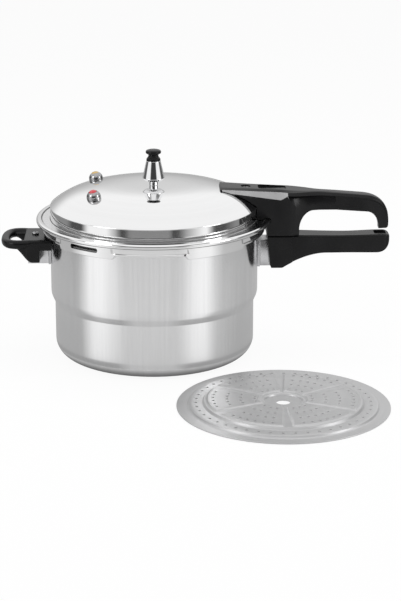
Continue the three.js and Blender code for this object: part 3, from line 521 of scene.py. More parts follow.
def moulded(name, dark, light, smooth, rough, relief, scale=900.0, **settings):
    """A moulded plastic or rubber with a fine grain and slow changes of gloss."""
    material, tree, shader = finish(name, **settings)
    place = add(tree, "ShaderNodeTexCoord")
    grain = effect(tree, moulded_grain, {"Surface": place.outputs["Object"], "Scale": scale})
    tree.links.new(tinted(tree, grain["Flow"], dark, light), shader["Base Color"])
    tree.links.new(between(tree, grain["Flow"], smooth, rough), shader["Roughness"])
    tree.links.new(bump(tree, grain["Grain"], relief, 0.1), shader["Normal"])
    return material


def eased(value, points):
    """A smooth curve through (place, value) points, level at each of them."""
    if value <= points[0][0]:
        return points[0][1]
    for (a, low), (b, high) in zip(points, points[1:]):
        if value <= b:
            share = (value - a) / (b - a)
            return low + (high - low) * share * share * (3 - 2 * share)
    return points[-1][1]


def straight(value, points):
    """A line through (place, value) points."""
    if value <= points[0][0]:
        return points[0][1]
    for (a, low), (b, high) in zip(points, points[1:]):
        if value <= b:
            return low + (high - low) * (value - a) / (b - a)
    return points[-1][1]


def end_inset(distance, radius):
    """How far a rounded end draws in at this distance from its tip."""
    if distance >= radius:
        return 0
    return radius - math.sqrt(max(radius ** 2 - (radius - distance) ** 2, 0))


def stations(start, end, step, tip):
    """Places along a handle, closer together near its two ends."""
    close = [tip * (1 - math.cos(math.pi / 2 * i / 6)) for i in range(6)]
    count = math.ceil((end - start - 2 * tip) / step)
    middle = [start + tip + (end - start - 2 * tip) * i / count for i in range(count + 1)]
    return [start + d for d in close] + middle + [end - d for d in reversed(close)]


def bar_section(half, low, high, top_edge, round_top=1.2, round_low=2):
    """A handle's section across its length, with slanted upper edges and rounded corners."""
    return rounded([
        (-half, low, round_low), (half, low, round_low),
        (half, high - top_edge, round_top), (half - top_edge, high, round_top),
        (top_edge - half, high, round_top), (-half, high - top_edge, round_top)])


black_phenolic = moulded("black_phenolic", (0.006, 0.006, 0.0065), (0.01, 0.01, 0.0105), 0.2, 0.28, 0.04,
                         Specular_IOR_Level=0.2)
points = []
places = sorted(stations(pot_handle_start, pot_handle_end, 1.5, 5) + [pot_block_end, pot_neck_end])
for x in places:
    tip = end_inset(pot_handle_end - x, 7)
    near = end_inset(x - pot_handle_start, 1.5)
    half = straight(x, [(pot_block_end, pot_block_half), (pot_neck_end, pot_neck_half)])
    if x > pot_neck_end:
        half = eased(x, pot_width_line)
    half -= tip + near
    rise = min(max((x - pot_rise_start) / pot_rise_length, 0), 1)
    foot = pot_grip_foot - (pot_grip_foot - pot_block_foot) * (1 - rise) ** pot_rise_power
    foot = max(foot, straight(x, [(pot_handle_start, handle_top - 3), (pot_handle_start + pot_slant, foot)]))
    foot += end_inset(pot_handle_end - x, 15) * 0.95
    high = handle_top - eased(x, pot_sag_line) - 0.4 * tip - near
    foot = min(foot, high - 2)
    points += [(x, y, z) for y, z in bar_section(half, foot, high, 1.6, round_low=3.2)]
pot_handle = lofted("pot_handle_moulded", points, len(points) // len(places))


def box(name, low, high, edge):
    """A box between two corners, with its upright edges rounded."""
    plan = rounded([
        (low[0], low[1], edge), (high[0], low[1], edge), (high[0], high[1], edge), (low[0], high[1], edge)])
    points = [(x, y, z) for z in (low[2], high[2]) for x, y in plan]
    return lofted(name, points, len(plan))


def upright(name, x, radius, foot, top, sides=48):
    """An upright round bar whose axis is at this distance along X."""
    return turned(name, [(0, foot), (radius, foot), (radius, top), (0, top)], sides=sides,
                  place=Matrix.Translation((x, 0, 0)))


def bracket_room(handle):
    """Room in a handle for its bracket."""
    half = bracket_halves[handle] + touch_gap
    room = box("room", (pot_radius, -half, bracket_feet[handle] - touch_gap),
               (pot_radius + bracket_reach + touch_gap, half, bracket_top + touch_gap), 0.5)
    if sides_of[handle] < 0:
        room.data.transform(Matrix.Rotation(math.pi, 4, "Z"))
    return room


combined(pot_handle, bracket_room("pot"), "DIFFERENCE")
pot_well_floor = handle_top - screw_head_thick - 2 * touch_gap
pot_well = upright("well", screw_x, screw_head + bolt_gap, pot_well_floor, above_handle)
combined(pot_handle, pot_well, "DIFFERENCE")
pocket = box("pocket", (pocket_start, -pocket_half, handle_top - pocket_depth),
             (pocket_end, pocket_half, above_handle), 2.5)
combined(pot_handle, pocket, "DIFFERENCE")
dressed(pot_handle, black_phenolic, "pot", "pot_handle")

# Handle screws: chromed pan-head screws with a cross recess, from a handle's top into the nut below.
# The pot handle's is sunk so that the lid's handle can turn over it.
screw_radius = 2.3
recess_reach = 2.4
recess_half = 0.55
recess_depth = 1.2
nut_thick = 3.2
bracket_sheet = 2
# Chrome with its colour darkened: painted shade on the handle screws, and a painted dark reflection on the
# valve caps.
shade_darkened_chrome = turned_metal("shade_darkened_chrome", (0.36, 0.36, 0.365), (0.44, 0.44, 0.445), 0.17, 0.23, 0.02)


def pan_screw(node, x, end, head_foot, body):
    """A pan-head screw at this distance along X, in place of its CAD node."""
    head_top = head_foot + screw_head_thick
    place = Matrix.Translation((x, 0, 0))
    screw = turned(f"{node}_turned", [
        (0, end), (screw_radius, end, 0.5), (screw_radius, head_foot), (screw_head, head_foot, 0.3),
        (screw_head, head_top, 1.6), (0, head_top)], sides=48, place=place)
    for across, along in ((recess_reach, recess_half), (recess_half, recess_reach)):
        slot = box("recess", (x - across, -along, head_top - recess_depth),
                   (x + across, along, head_top + 1), 0.15)
        combined(screw, slot, "DIFFERENCE")
    dressed(screw, shade_darkened_chrome, body, node)


nut_end = bracket_top - bracket_sheet - 2 * touch_gap - nut_thick
pan_screw("pot_handle_screw", screw_x, nut_end, pot_well_floor + touch_gap, "pot")
pan_screw("helper_handle_screw", -screw_x, nut_end, handle_top + touch_gap, "pot")

# Helper handle: black phenolic, a rounded loop for the fingertips on a block round its bracket.
# It is moulded in one piece, and its flat top plate reaches in under the rim of the lid.
helper_tip = -181
helper_block_end = -154
helper_block_start = -134.5
helper_wall_end = -118
helper_block_foot = 117.5
helper_plate_foot = 132
helper_block_half = 31
gusset_end = -165
gusset_root = helper_block_end + 4
gusset_half = 5
loop_rod = 10.4
rod_edge = 4.6
loop_root = (-146, -26)
helper_foot_line = [(gusset_end, handle_top - loop_rod + 1), (-144, helper_block_foot)]


def curve_points(start, lead, pull, end, steps):
    """Points of a cubic curve in plan."""
    points = []
    for i in range(steps + 1):
        t = i / steps
        weights = ((1 - t) ** 3, 3 * t * (1 - t) ** 2, 3 * t * t * (1 - t), t ** 3)
        points.append(sum((w * Vector(p) for w, p in zip(weights, (start, lead, pull, end))), Vector((0, 0))))
    return points


rod_half = loop_rod / 2
tip_line = helper_tip + rod_half
half_loop = curve_points(loop_root, (-170, -34), (tip_line, -23), (tip_line, 0), 24)
loop = half_loop + [Vector((x, -y)) for x, y in reversed(half_loop[:-1])]
points = []
rod = rounded([(-rod_half, -rod_half, rod_edge), (rod_half, -rod_half, rod_edge),
               (rod_half, rod_half, rod_edge), (-rod_half, rod_half, rod_edge)])
for i, here in enumerate(loop):
    ahead = (loop[min(i + 1, len(loop) - 1)] - loop[max(i - 1, 0)]).normalized()
    for across, rise in rod:
        points.append((here.x - ahead.y * across, here.y + ahead.x * across, handle_top - rod_half + rise))
helper_handle = lofted("helper_handle_moulded", points, len(rod))
points = []
block_places = sorted(stations(helper_block_end, helper_wall_end, 0.9, 2.5) + [helper_block_start + 0.1])
for x in block_places:
    tip = end_inset(x - helper_block_end, 3)
    foot = eased(x, helper_foot_line)
    if x > helper_block_start:
        foot = helper_plate_foot
    half = straight(x, [(helper_block_end, 28), (-150, helper_block_half)]) - tip
    points += [(x, y, z) for y, z in bar_section(half, foot, handle_top - tip, 2, 2.5, 3)]
block = lofted("block", points, len(points) // len(block_places))
for side in (1, -1):
    points = []
    gusset_places = [gusset_end + (gusset_root - gusset_end) * i / 12 for i in range(13)]
    for x in gusset_places:
        foot = eased(x, helper_foot_line)
        middle = side * straight(x, [(gusset_end, 24.6), (gusset_root, 25.5)])
        section = bar_section(gusset_half, foot, handle_top - 4, 0.5, 0.4, 2.4)
        points += [(x, middle + y, z) for y, z in section]
    gusset = lofted("gusset", points, len(points) // len(gusset_places))
    combined(block, gusset, "UNION")
combined(helper_handle, block, "UNION")
modifier = helper_handle.modifiers.new("moulded", "REMESH")
modifier.mode = "VOXEL"
modifier.voxel_size = 0.65 * MM
modifier = helper_handle.modifiers.new("softened", "SMOOTH")
modifier.factor = 0.5
modifier.iterations = 10
baked(helper_handle)
wall_clear = pot_radius + 0.9
side_foot = 90
pot_side = turned("pot_side", [
    (0, side_foot), (wall_clear, side_foot), (wall_clear, above_handle), (0, above_handle)])
combined(helper_handle, pot_side, "DIFFERENCE")
combined(helper_handle, bracket_room("helper"), "DIFFERENCE", crease=50)
plate_arc = 2 * math.asin(bracket_plate_half / pot_radius)
plate_room = ring_part("plate_room", pot_radius - 1, outside_face, bracket_feet["helper"] - 1,
                       bracket_top + touch_gap, plate_arc, 0.2, middle=math.pi)
combined(helper_handle, plate_room, "DIFFERENCE", crease=50)
dressed(helper_handle, black_phenolic, "pot", "helper_handle")

# Lid shell: one pressing of polished aluminium with a flattish crown, a raised wall, a flange and a rim.
# Under the rim hangs a skirt with five teeth that lock below the pot's lugs.
# One slot in the skirt lets the gasket give way if the pressure runs too high.
lid_sheet = 2.5
lid_wall_radius = 122.5
crown_edge = 181
crown_rise = 23
crown_power = 4.5
crown_top = crown_edge + crown_rise
flange_top = 166
flange_under = flange_top - lid_sheet
rim_radius = 139
rim_top = 167.6
rim_foot = 161.6
rim_step_foot = 132
rim_step_top = 133.4
skirt_radius = 131
skirt_inside = 128.5
skirt_foot = 147
gap_foot = 151
tooth_inside = 124.1
tooth_top = 150.2
vent_hole = 3.9
bead = 0.5
bead_height = 153.2
bead_half = 0.9
tooth_ramp = math.radians(1.0)
slot_middle = lug_middle + 2 * lug_pitch
slot_length = 39.5
slot_foot = 152.5
slot_top = 157.9
slot_edge = 2.6
relief_radius = 1.2
valve_reach = 69
valve_spread = 47
valve_hole = 5.2


def crown_at(radius):
    """Height of the crown's outer face at a distance from the axis."""
    return crown_edge + crown_rise * (1 - (radius / lid_wall_radius) ** crown_power)


def crown_slope(radius):
    """How steeply the crown falls there."""
    return crown_rise * crown_power * (radius / lid_wall_radius) ** (crown_power - 1) / lid_wall_radius


def tooth_share(angle):
    """1 where the skirt has a tooth, 0 in the gaps between teeth, with slanted ends."""
    away = abs((angle - lug_middle + lug_pitch / 2) % lug_pitch - lug_pitch / 2)
    return min(max((lug_arc / 2 + tooth_ramp - away) / tooth_ramp, 0), 1)


crown_radii = [vent_hole + (lid_wall_radius - vent_hole) * (1 - (1 - i / 30) ** 1.5) for i in range(30)]
crown_outside = [(r, crown_at(r)) for r in crown_radii]
wall_inside = lid_wall_radius - lid_sheet
inward = wall_inside / lid_wall_radius
crown_inside = [(r * inward, crown_at(r) - lid_sheet) for r in reversed(crown_radii[1:])]


def lid_section(angle):
    """The lid's section at this angle, from the vent hole over the rim to the skirt and back inside."""
    tooth = tooth_share(angle)
    foot = gap_foot + (skirt_foot - gap_foot) * tooth
    beaded = skirt_radius + bead * (1 - tooth)
    inner = skirt_inside + (tooth_inside - skirt_inside) * tooth
    shelf = gap_foot + (tooth_top - gap_foot) * tooth
    return crown_outside + [
        (lid_wall_radius, crown_edge, 2.6),
        (lid_wall_radius, flange_top, 1.1),
        (rim_step_foot, flange_top, 0.8),
        (rim_step_top, rim_top, 0.9),
        (rim_radius, rim_top, 2.6),
        (rim_radius, rim_foot, 2.6),
        (skirt_radius, rim_foot, 0.8),
        (skirt_radius, bead_height + bead_half, 0.3),
        (beaded, bead_height, 0.3),
        (skirt_radius, bead_height - bead_half, 0.3),
        (skirt_radius, foot, 0.9),
        (inner, foot, 0.5),
        (inner, shelf, 0.5),
        (skirt_inside, shelf, 0.5),
        (skirt_inside, flange_under, 1.2),
        (wall_inside, flange_under, 1.2),
        (wall_inside, crown_edge - lid_sheet, 2),
    ] + crown_inside + [(vent_hole, crown_top - lid_sheet)]


lid_angles = {math.radians(1.5) * i for i in range(240)}
for i in range(lug_count):
    for edge in (lug_arc / 2, -lug_arc / 2):
        out = tooth_ramp if edge > 0 else -tooth_ramp
        lid_angles |= {(lug_middle + i * lug_pitch + edge + out * k) % (2 * math.pi) for k in (0, 0.5, 1)}
lid_shell = turned("lid_shell_polished", lid_section, angles=sorted(lid_angles))


def valve_frame(side):
    """Place and tilt of a valve on the crown: its own Z axis stands square on the lid."""
    radius = math.hypot(valve_reach, valve_spread)
    around = math.atan2(side * valve_spread, -valve_reach)
    tilt = math.atan(crown_slope(radius))
    return (Matrix.Rotation(around, 4, "Z") @ Matrix.Translation((radius, 0, crown_at(radius)))
            @ Matrix.Rotation(tilt, 4, "Y"))


for side in (1, -1):
    hole = turned("valve_hole", [(0, -8), (valve_hole, -8), (valve_hole, 8), (0, 8)],
                  sides=48, place=valve_frame(side))
    combined(lid_shell, hole, "DIFFERENCE")
slot_half = slot_length / 2
slot_face = rounded([(-slot_half, slot_foot, slot_edge), (slot_half, slot_foot, slot_edge),
                     (slot_half, slot_top, slot_edge), (-slot_half, slot_top, slot_edge)])
points = [(x, y, z) for x in (skirt_inside - 4, skirt_radius + 4) for y, z in slot_face]
slot = lofted("slot", points, len(slot_face))
slot.data.transform(Matrix.Rotation(slot_middle, 4, "Z"))
combined(lid_shell, slot, "DIFFERENCE")
relief_place = Matrix.Translation((0, 0, gap_foot + 1.6)) @ Matrix.Rotation(math.pi / 2, 4, "Y")
relief_start = skirt_inside - 2.5
relief_end = skirt_radius + 3
relief = turned("relief", [
    (0, relief_start), (relief_radius, relief_start), (relief_radius, relief_end), (0, relief_end)],
    sides=20, place=relief_place)
relief_turn = lug_middle - lug_arc / 2 - 1.6 * tooth_ramp
polished_aluminium = turned_metal(
    "polished_aluminium", (0.86, 0.86, 0.862), (0.885, 0.885, 0.887), 0.035, 0.06, 0.01, 0.2, across=1800.0)
reliefs = repeated("reliefs", relief, lug_count, relief_turn, lug_pitch, polished_aluminium)
combined(lid_shell, reliefs, "DIFFERENCE")
coated(lid_shell, polished_aluminium, painted_shade_aluminium, satin_aluminium)
flange_start = lid_wall_radius + 0.8
# Faces in the fillet at the wall's foot, on the rim's inner step and under the rim take the darker metal as
# painted shade; the flange between them takes the satin finish.
for face in lid_shell.data.polygons:
    x, y, z = face.center / MM
    radius = math.hypot(x, y)
    rise = z - flange_top
    wall_foot = lid_wall_radius - 0.1 < radius < flange_start and 0.05 < rise < 1.1
    rim_step = rim_step_foot - 0.1 < radius < rim_step_top - 0.1 and rise > 0.1 and z < rim_top
    rim_under = radius > skirt_radius + 0.5 and z < rim_foot + 1.2
    if wall_foot or rim_step or rim_under:
        face.material_index = 1
    elif flange_start < radius < rim_step_foot and -0.1 < rise < 0.5:
        face.material_index = 2
dressed(lid_shell, polished_aluminium, "lid", "lid_shell")

# Gasket: a ring of black rubber with a chamfered lip, moulded in one piece.
# It is pressed into the lid's channel, and seals on the pot's rim.
soft_rubber = moulded(
    "soft_rubber", (0.03, 0.03, 0.031), (0.045, 0.045, 0.045), 0.6, 0.75, 0.15, scale=1400.0)
gasket_inner = wall_inside + touch_gap
gasket_outer = skirt_inside - touch_gap
gasket_foot = pot_height + touch_gap
gasket_top = gasket_foot + 3.9
lip = 1.6
lip_edge = 0.6
gasket = turned("lid_gasket_moulded", [
    (gasket_inner, gasket_foot, lip_edge), (gasket_outer - lip, gasket_foot, lip_edge),
    (gasket_outer, gasket_foot + lip, lip_edge), (gasket_outer, gasket_top, lip_edge),
    (gasket_inner, gasket_top, lip_edge)])
dressed(gasket, soft_rubber, "lid", "lid_gasket")

# Lid handle: black phenolic, with a head on the crown, a block down over the rim, a grip and a hook.
# A bracket welded to the crown carries it, and its screw lies in a round well beside a bare sunk field.
lid_handle_front = 78
lid_handle_end = 277.5
lid_handle_top = 203.5
lid_head_end = 157
lid_head_half = 22.5
lid_grip_half = 11
block_foot = 145.8
block_end = 171
grip_bottom = 174.5
hook_start = 266
hook_foot = 150.5
hook_half = 6
head_back = 133
head_foot = 165
bend_start = 247
bend_top = 192.4
bend_fall = 3
bend_depth = 26.5
finger_gap_foot = 152
finger_gap_corner = 17
hook_bend = 250
hook_bend_foot = 171.8
lid_top_line = [(lid_handle_front, lid_handle_top), (150, 200), (172, 198.3), (215, 195.2),
                (bend_start, bend_top)]
grip_under_line = [(block_end, 174.6), (215, grip_bottom), (252, hook_bend_foot)]
lid_half_line = [(lid_head_end, lid_head_half), (198, lid_grip_half), (244, lid_grip_half),
                 (lid_handle_end, hook_half)]
lid_edge_line = [(lid_handle_front, 2), (82, 3), (149, 8.2), (lid_head_end + 1, 2.6), (180, 3)]
lid_bevel_line = [(lid_handle_front, 2), (149, 5), (lid_head_end + 1, 3), (180, 3)]
lid_crown_line = [(lid_handle_front, 1.2), (149, 2.2), (180, 0.8), (bend_start, 0.4)]
lid_screw_x = 108.5
screw_sink = 2.5
lid_well = 5.8
lid_bracket_start = 99
lid_bracket_end = 118
lid_bracket_half = 8
bracket_cover = lid_handle_top - 6.5
field_start = 123
field_end = 156
field_half = 10.5
field_floor = 198.4
above_lid_handle = 210


def bent(share, power):
    """How far a bend has fallen, from 0 to 1, at a share of its length."""
    return 1 - math.sqrt(max(1 - share ** power, 0))


def lid_handle_top_at(x):
    """Height of the lid handle's top at this distance along X."""
    if x <= bend_start:
        return straight(x, lid_top_line)
    share = min((x - bend_start) / (lid_handle_end - bend_start), 1)
    return bend_top - bend_fall * share - bend_depth * bent(share, 2.6)


def lid_handle_foot_at(x):
    """Height of the lid handle's underside there: head, block, finger gap and hook."""
    if x < head_back:
        return head_foot
    if x < block_end:
        return block_foot
    if x > hook_bend:
        share = min((x - hook_bend) / (hook_start - hook_bend), 1)
        return hook_bend_foot - (hook_bend_foot - hook_foot) * bent(share, 2.2)
    share = min((x - block_end) / finger_gap_corner, 1)
    foot = finger_gap_foot + (grip_bottom - finger_gap_foot) * math.sqrt(1 - (1 - share) ** 2)
    return min(foot, straight(x, grip_under_line))


def lid_handle_section(x):
    """The handle's section there: a crowned top with slanted edges over slightly narrower sides."""
    edge = straight(x, lid_edge_line)
    bevel = straight(x, lid_bevel_line)
    front = end_inset(x - lid_handle_front, 2)
    back = end_inset(lid_handle_end - x, 3)
    lip = eased(x, [(190, 0.3), (lid_handle_end, 0.6)])
    half = eased(x, lid_half_line) - front - 0.4 * back
    top = lid_handle_top_at(x) - 0.6 * front
    low_half = half - lip
    foot = lid_handle_foot_at(x) + back
    brow = top - straight(x, lid_crown_line)
    plateau = 0.64 * (half - bevel)
    shoulder = min(brow - edge - 1.2, top - 5)
    return rounded([
        (-low_half, foot, 2.2), (low_half, foot, 2.2),
        (low_half, shoulder - lip, 1.5), (half, shoulder, 0.8),
        (half, brow - edge, 0.8), (half - bevel, brow, 0.8), (plateau, top, 2),
        (-plateau, top, 2), (bevel - half, brow, 0.8), (-half, brow - edge, 0.8),
        (-half, shoulder, 0.8), (-low_half, shoulder - lip, 1.5)])


places = stations(lid_handle_front, lid_handle_end, 1.25, 3)
places += [head_back - 0.05, head_back + 0.05, block_end - 0.02]
places += [block_end + 0.15 * k * k for k in range(1, 10)]
places += [hook_start - 0.12 * k * k for k in range(8)]
places = sorted(set(places))
points = []
for x in places:
    points += [(x, y, z) for y, z in lid_handle_section(x)]
lid_handle = lofted("lid_handle_moulded", points, len(points) // len(places))
scoop = 28
scoop_start = 151.5
scoop_end = scoop + 34
scoop_out = 80
scoop_height = 60
scoop_slant = 0.3
scoop_flare = 0.45
scoop_fall = 0.055
scoop_top = 194.6
scoop_face = lid_grip_half - 1.2
for side in (1, -1):
    plan = [(scoop - scoop * math.cos(t), -scoop_face - scoop + scoop * math.sin(t))
            for t in (math.pi / 2 * k / 24 for k in range(25))]
    plan += [(scoop_end, -scoop_face + 0.3), (scoop_end, -scoop_out), (0, -scoop_out)]
    points = []
    for down in (scoop_height, 0):
        start = scoop_start + down * scoop_slant
        points += [(start + x, side * (y - down * scoop_flare), scoop_top - down - scoop_fall * x)
                   for x, y in plan]
    combined(lid_handle, lofted("scoop", points, len(plan)), "DIFFERENCE")
clear = 0.6
envelope_foot = 140
skirt_clear = skirt_radius + bead + clear
rim_clear = rim_radius + clear
envelope = [(0, crown_top + clear)]
envelope += [(r + clear * crown_slope(r), crown_at(r) + clear) for r in crown_radii[1:-1]]
envelope += [
    (lid_wall_radius + clear, crown_edge + clear, 3), (lid_wall_radius + clear, flange_top + clear, 2),
    (rim_step_foot, flange_top + clear), (rim_step_top - 0.4, rim_top + clear),
    (rim_clear, rim_top + clear, 3), (rim_clear, rim_foot - clear, 3), (skirt_clear, rim_foot - clear),
    (skirt_clear, envelope_foot), (0, envelope_foot)]
combined(lid_handle, turned("envelope", envelope, sides=240), "DIFFERENCE")
room_half = lid_bracket_half + touch_gap
room = box("room", (lid_bracket_start - touch_gap, -room_half, crown_edge - 6),
           (lid_bracket_end + touch_gap, room_half, bracket_cover + touch_gap), 0.5)
screw_seat = lid_handle_top - screw_sink - screw_head_thick
shank_foot = bracket_cover - 7
shank_hole = upright("shank_hole", lid_screw_x, screw_radius + bolt_gap, shank_foot, above_lid_handle, 32)
well = upright("well", lid_screw_x, lid_well, screw_seat - touch_gap, above_lid_handle, 64)
field = box("field", (field_start, -field_half, field_floor), (field_end, field_half, above_lid_handle), 5)
for cut in (room, shank_hole, well, field):
    combined(lid_handle, cut, "DIFFERENCE")
# A lighter grey on the slanted faces along the head's top is a painted sheen of the light from above; the
# moulding itself is black.
painted_sheen_bevel = moulded(
    "painted_sheen_bevel", (0.34, 0.34, 0.342), (0.4, 0.4, 0.402), 0.4, 0.5, 0.06, Specular_IOR_Level=0.5)
bevel_inside = 11.5
bevel_lowest = 190
coated(lid_handle, black_phenolic, painted_sheen_bevel)
# The slanted faces of the head take the painted sheen.
for face in lid_handle.data.polygons:
    x, y, z = face.center / MM
    slanted = 0.35 < abs(face.normal.y) < 0.93 and 0.35 < face.normal.z < 0.93
    on_head = lid_handle_front + 2.5 < x < lid_head_end and abs(y) > bevel_inside and z > bevel_lowest
    if slanted and on_head:
        face.material_index = 1
dressed(lid_handle, black_phenolic, "lid", "lid_handle")
lid_bracket = eased_copy("lid_handle_bracket_folded", "lid_handle_bracket", 0.4)
dressed(lid_bracket, brushed_steel, "lid", "lid_handle_bracket")
pan_screw("lid_handle_screw", lid_screw_x, crown_at(lid_screw_x) + 1.5, screw_seat, "lid")

# Vent: a chromed pipe through the middle of the lid, held from below by a rubber washer and a nut.
# A slotted steel cup under the lid keeps food out of it.
vent_bore = 1.3
collar_radius = 5.2
collar_foot = crown_top + touch_gap
collar_top = collar_foot + 4.6
nozzle_radius = 3
nozzle_top = collar_top + 11.5
washer_radius = 8
washer_thick = 1.2
washer_gap = 0.7
washer_top = crown_top - lid_sheet - washer_gap
washer_foot = washer_top - washer_thick
nut_top = washer_foot - touch_gap
vent_nut_thick = 4
cup_top = nut_top - vent_nut_thick - touch_gap
cup_foot = cup_top - 9
cup_radius = 8.5
cup_wall = 1.2
pipe_end = cup_foot + cup_wall + 3
stem = vent_hole - bolt_gap
bright_chrome = turned_metal("bright_chrome", (0.84, 0.845, 0.85), (0.89, 0.89, 0.9), 0.04, 0.08, 0.02)
vent_pipe = turned("vent_pipe_turned", [
    (vent_bore, pipe_end), (stem, pipe_end, 0.4), (stem, collar_foot), (collar_radius, collar_foot, 0.3),
    (collar_radius, collar_top, 0.8), (nozzle_radius, collar_top, 0.4), (nozzle_radius, nozzle_top, 0.8),
    (vent_bore, nozzle_top, 0.2)], sides=64)
dressed(vent_pipe, bright_chrome, "lid", "vent_pipe")
vent_washer = turned("vent_washer_cut", [
    (vent_hole, washer_foot), (washer_radius, washer_foot, 0.4), (washer_radius, washer_top, 0.4),
    (vent_hole, washer_top)], sides=64)
dressed(vent_washer, soft_rubber, "lid", "vent_washer")
dressed(eased_copy("vent_nut_cut", "vent_nut", 0.3), brushed_steel, "lid", "vent_nut")
cup = turned("vent_strainer_pressed", [
    (0, cup_foot), (cup_radius, cup_foot, 1.2), (cup_radius, cup_top, 0.4), (vent_hole, cup_top),
    (vent_hole, cup_top - cup_wall), (cup_radius - cup_wall, cup_top - cup_wall),
    (cup_radius - cup_wall, cup_foot + cup_wall), (0, cup_foot + cup_wall)], sides=72)
cup_slot_half = 0.8
cup_slot = box("cup_slot", (cup_radius - 3, -cup_slot_half, cup_foot + 2 * cup_wall),
               (cup_radius + 1.5, cup_slot_half, cup_top - 2 * cup_wall), 0.2)
cup_slots = 6
cup_pitch = 2 * math.pi / cup_slots
combined(cup, repeated("cup_slots", cup_slot, cup_slots, 0, cup_pitch, brushed_steel), "DIFFERENCE")
dressed(cup, brushed_steel, "lid", "vent_strainer")

# Regulator: a chromed steel weight that drops over the vent's nozzle, with a black knob to lift it by.
# A stud pressed into both joins them.
weight_foot = collar_top + 0.9
weight_top = weight_foot + 23.6
weight_skirt = 13.1
weight_neck = 8.4
weight_bore = 3.4
bore_top = nozzle_top + touch_gap
stud_radius = 2
stud_hole = 2.3
stud_reach = 5.5
stud_foot = weight_top - stud_reach
regulator_weight = turned("regulator_weight_turned", [
    (weight_bore, weight_foot, 0.4), (weight_skirt - 3, weight_foot, 0.6),
    (weight_skirt, weight_foot + 3, 0.8), (weight_neck, weight_top, 0.5), (stud_hole, weight_top),
    (stud_hole, stud_foot - touch_gap), (0, stud_foot - touch_gap), (0, bore_top), (weight_bore, bore_top)],
    sides=96)
dressed(regulator_weight, bright_chrome, "regulator", "regulator_weight")
knob_foot = weight_top + touch_gap
knob_top = knob_foot + 13
knob_waist = 5.7
knob_head = 9.1
stud_top = knob_foot + stud_reach
regulator_knob = turned("regulator_knob_moulded", [
    (stud_hole, knob_foot), (weight_neck, knob_foot, 0.4), (8.2, knob_foot + 2, 1.4),
    (knob_waist, knob_foot + 5.4, 2.6), (6.4, knob_foot + 7.4, 2.2), (knob_head, knob_foot + 8.8, 1.6),
    (knob_head, knob_top - 1.2, 2.4), (5, knob_top, 6), (0, knob_top), (0, stud_top + touch_gap),
    (stud_hole, stud_top + touch_gap)], sides=96)
dressed(regulator_knob, black_phenolic, "regulator", "regulator_knob")
regulator_stud = turned("regulator_stud_cut", [
    (0, stud_foot), (stud_radius, stud_foot, 0.4), (stud_radius, stud_top, 0.4), (0, stud_top)], sides=32)
dressed(regulator_stud, brushed_steel, "regulator", "regulator_stud")

# Valves: a safety valve with a fusible amber plug, and a pressure indicator with a red pin that rises in it.
# Each has a steel seat under the lid, a rubber washer and a chromed acorn cap screwed on from above.
valve_bore = 2.6
valve_washer_top = -lid_sheet - washer_gap
valve_washer_foot = valve_washer_top - washer_thick
seat_radius = 8.2
seat_top = valve_washer_foot - touch_gap
seat_foot = seat_top - 2
stem_top = 4.6
stem_radius = valve_hole - bolt_gap
cap_radius = 8.4
cap_foot = -0.2
cap_skirt = 1.5
cap_height = 9.6
cap_eye = 5
cap_floor = stem_top + touch_gap
eye_angle = math.acos(cap_eye / cap_radius)
dome_angles = [eye_angle * i / 18 for i in range(19)]
dome_height = cap_height - cap_skirt
dome = [(cap_radius * math.cos(angle), cap_skirt + dome_height * math.sin(angle)) for angle in dome_angles]
eye_top = dome[-1][1]
proud_top = eye_top + 1.4
head = cap_eye - touch_gap
domed_head = [
    (head, cap_floor), (head, eye_top - 0.3, 0.6), (head * 0.72, proud_top, 2), (0, proud_top + 0.7)]
amber_alloy = turned_metal("amber_alloy", (0.62, 0.43, 0.17), (0.74, 0.54, 0.25), 0.3, 0.42, 0.05)
red_plastic = moulded(
    "red_plastic", (0.5, 0.03, 0.045), (0.6, 0.045, 0.06), 0.24, 0.32, 0.03, Coat_Weight=0.3)
for valve, side in (("safety_valve", 1), ("indicator", -1)):
    place = valve_frame(side)
    seat = turned(f"{valve}_seat_turned", [
        (valve_bore, seat_foot), (seat_radius, seat_foot, 0.4), (seat_radius, seat_top, 0.4),
        (stem_radius, seat_top), (stem_radius, stem_top), (valve_bore, stem_top)], sides=64, place=place)
    dressed(seat, brushed_steel, "lid", f"{valve}_seat")
    washer = turned(f"{valve}_washer_cut", [
        (valve_hole, valve_washer_foot), (seat_radius, valve_washer_foot, 0.4),
        (seat_radius, valve_washer_top, 0.4), (valve_hole, valve_washer_top)], sides=64, place=place)
    dressed(washer, soft_rubber, "lid", f"{valve}_washer")
    # The caps take the darkened chrome, which paints in a dark reflection.
    cap = turned(f"{valve}_cap_turned", [(valve_hole, cap_foot), (cap_radius, cap_foot, 0.4)] + dome + [
        (cap_eye, cap_floor), (valve_hole, cap_floor)], sides=96, place=place)
    dressed(cap, shade_darkened_chrome, "lid", f"{valve}_cap")
plug = turned("safety_valve_plug_pressed", [(0, cap_floor)] + domed_head, sides=48, place=valve_frame(1))
dressed(plug, amber_alloy, "lid", "safety_valve_plug")
pin_travel = 4
pin_foot_radius = 4
pin_foot_thick = 1.6
seal_thick = 1.4
pin_foot_top = seat_foot - pin_travel - 2 * touch_gap - seal_thick
pin_foot = pin_foot_top - pin_foot_thick
shank = valve_bore - bolt_gap
pin = turned("indicator_pin_moulded", [
    (0, pin_foot), (pin_foot_radius, pin_foot, 0.4), (pin_foot_radius, pin_foot_top, 0.4),
    (shank, pin_foot_top), (shank, cap_floor)] + domed_head, sides=48, place=valve_frame(-1))
dressed(pin, red_plastic, "indicator", "indicator_pin")
seal_foot = pin_foot_top + touch_gap
seal_top = seal_foot + seal_thick
seal_bore = shank + touch_gap
seal = turned("indicator_seal_moulded", [
    (seal_bore, seal_foot, 0.3), (pin_foot_radius, seal_foot, 0.5), (pin_foot_radius, seal_top, 0.5),
    (seal_bore, seal_top, 0.3)], sides=48, place=valve_frame(-1))
dressed(seal, soft_rubber, "indicator", "indicator_seal")

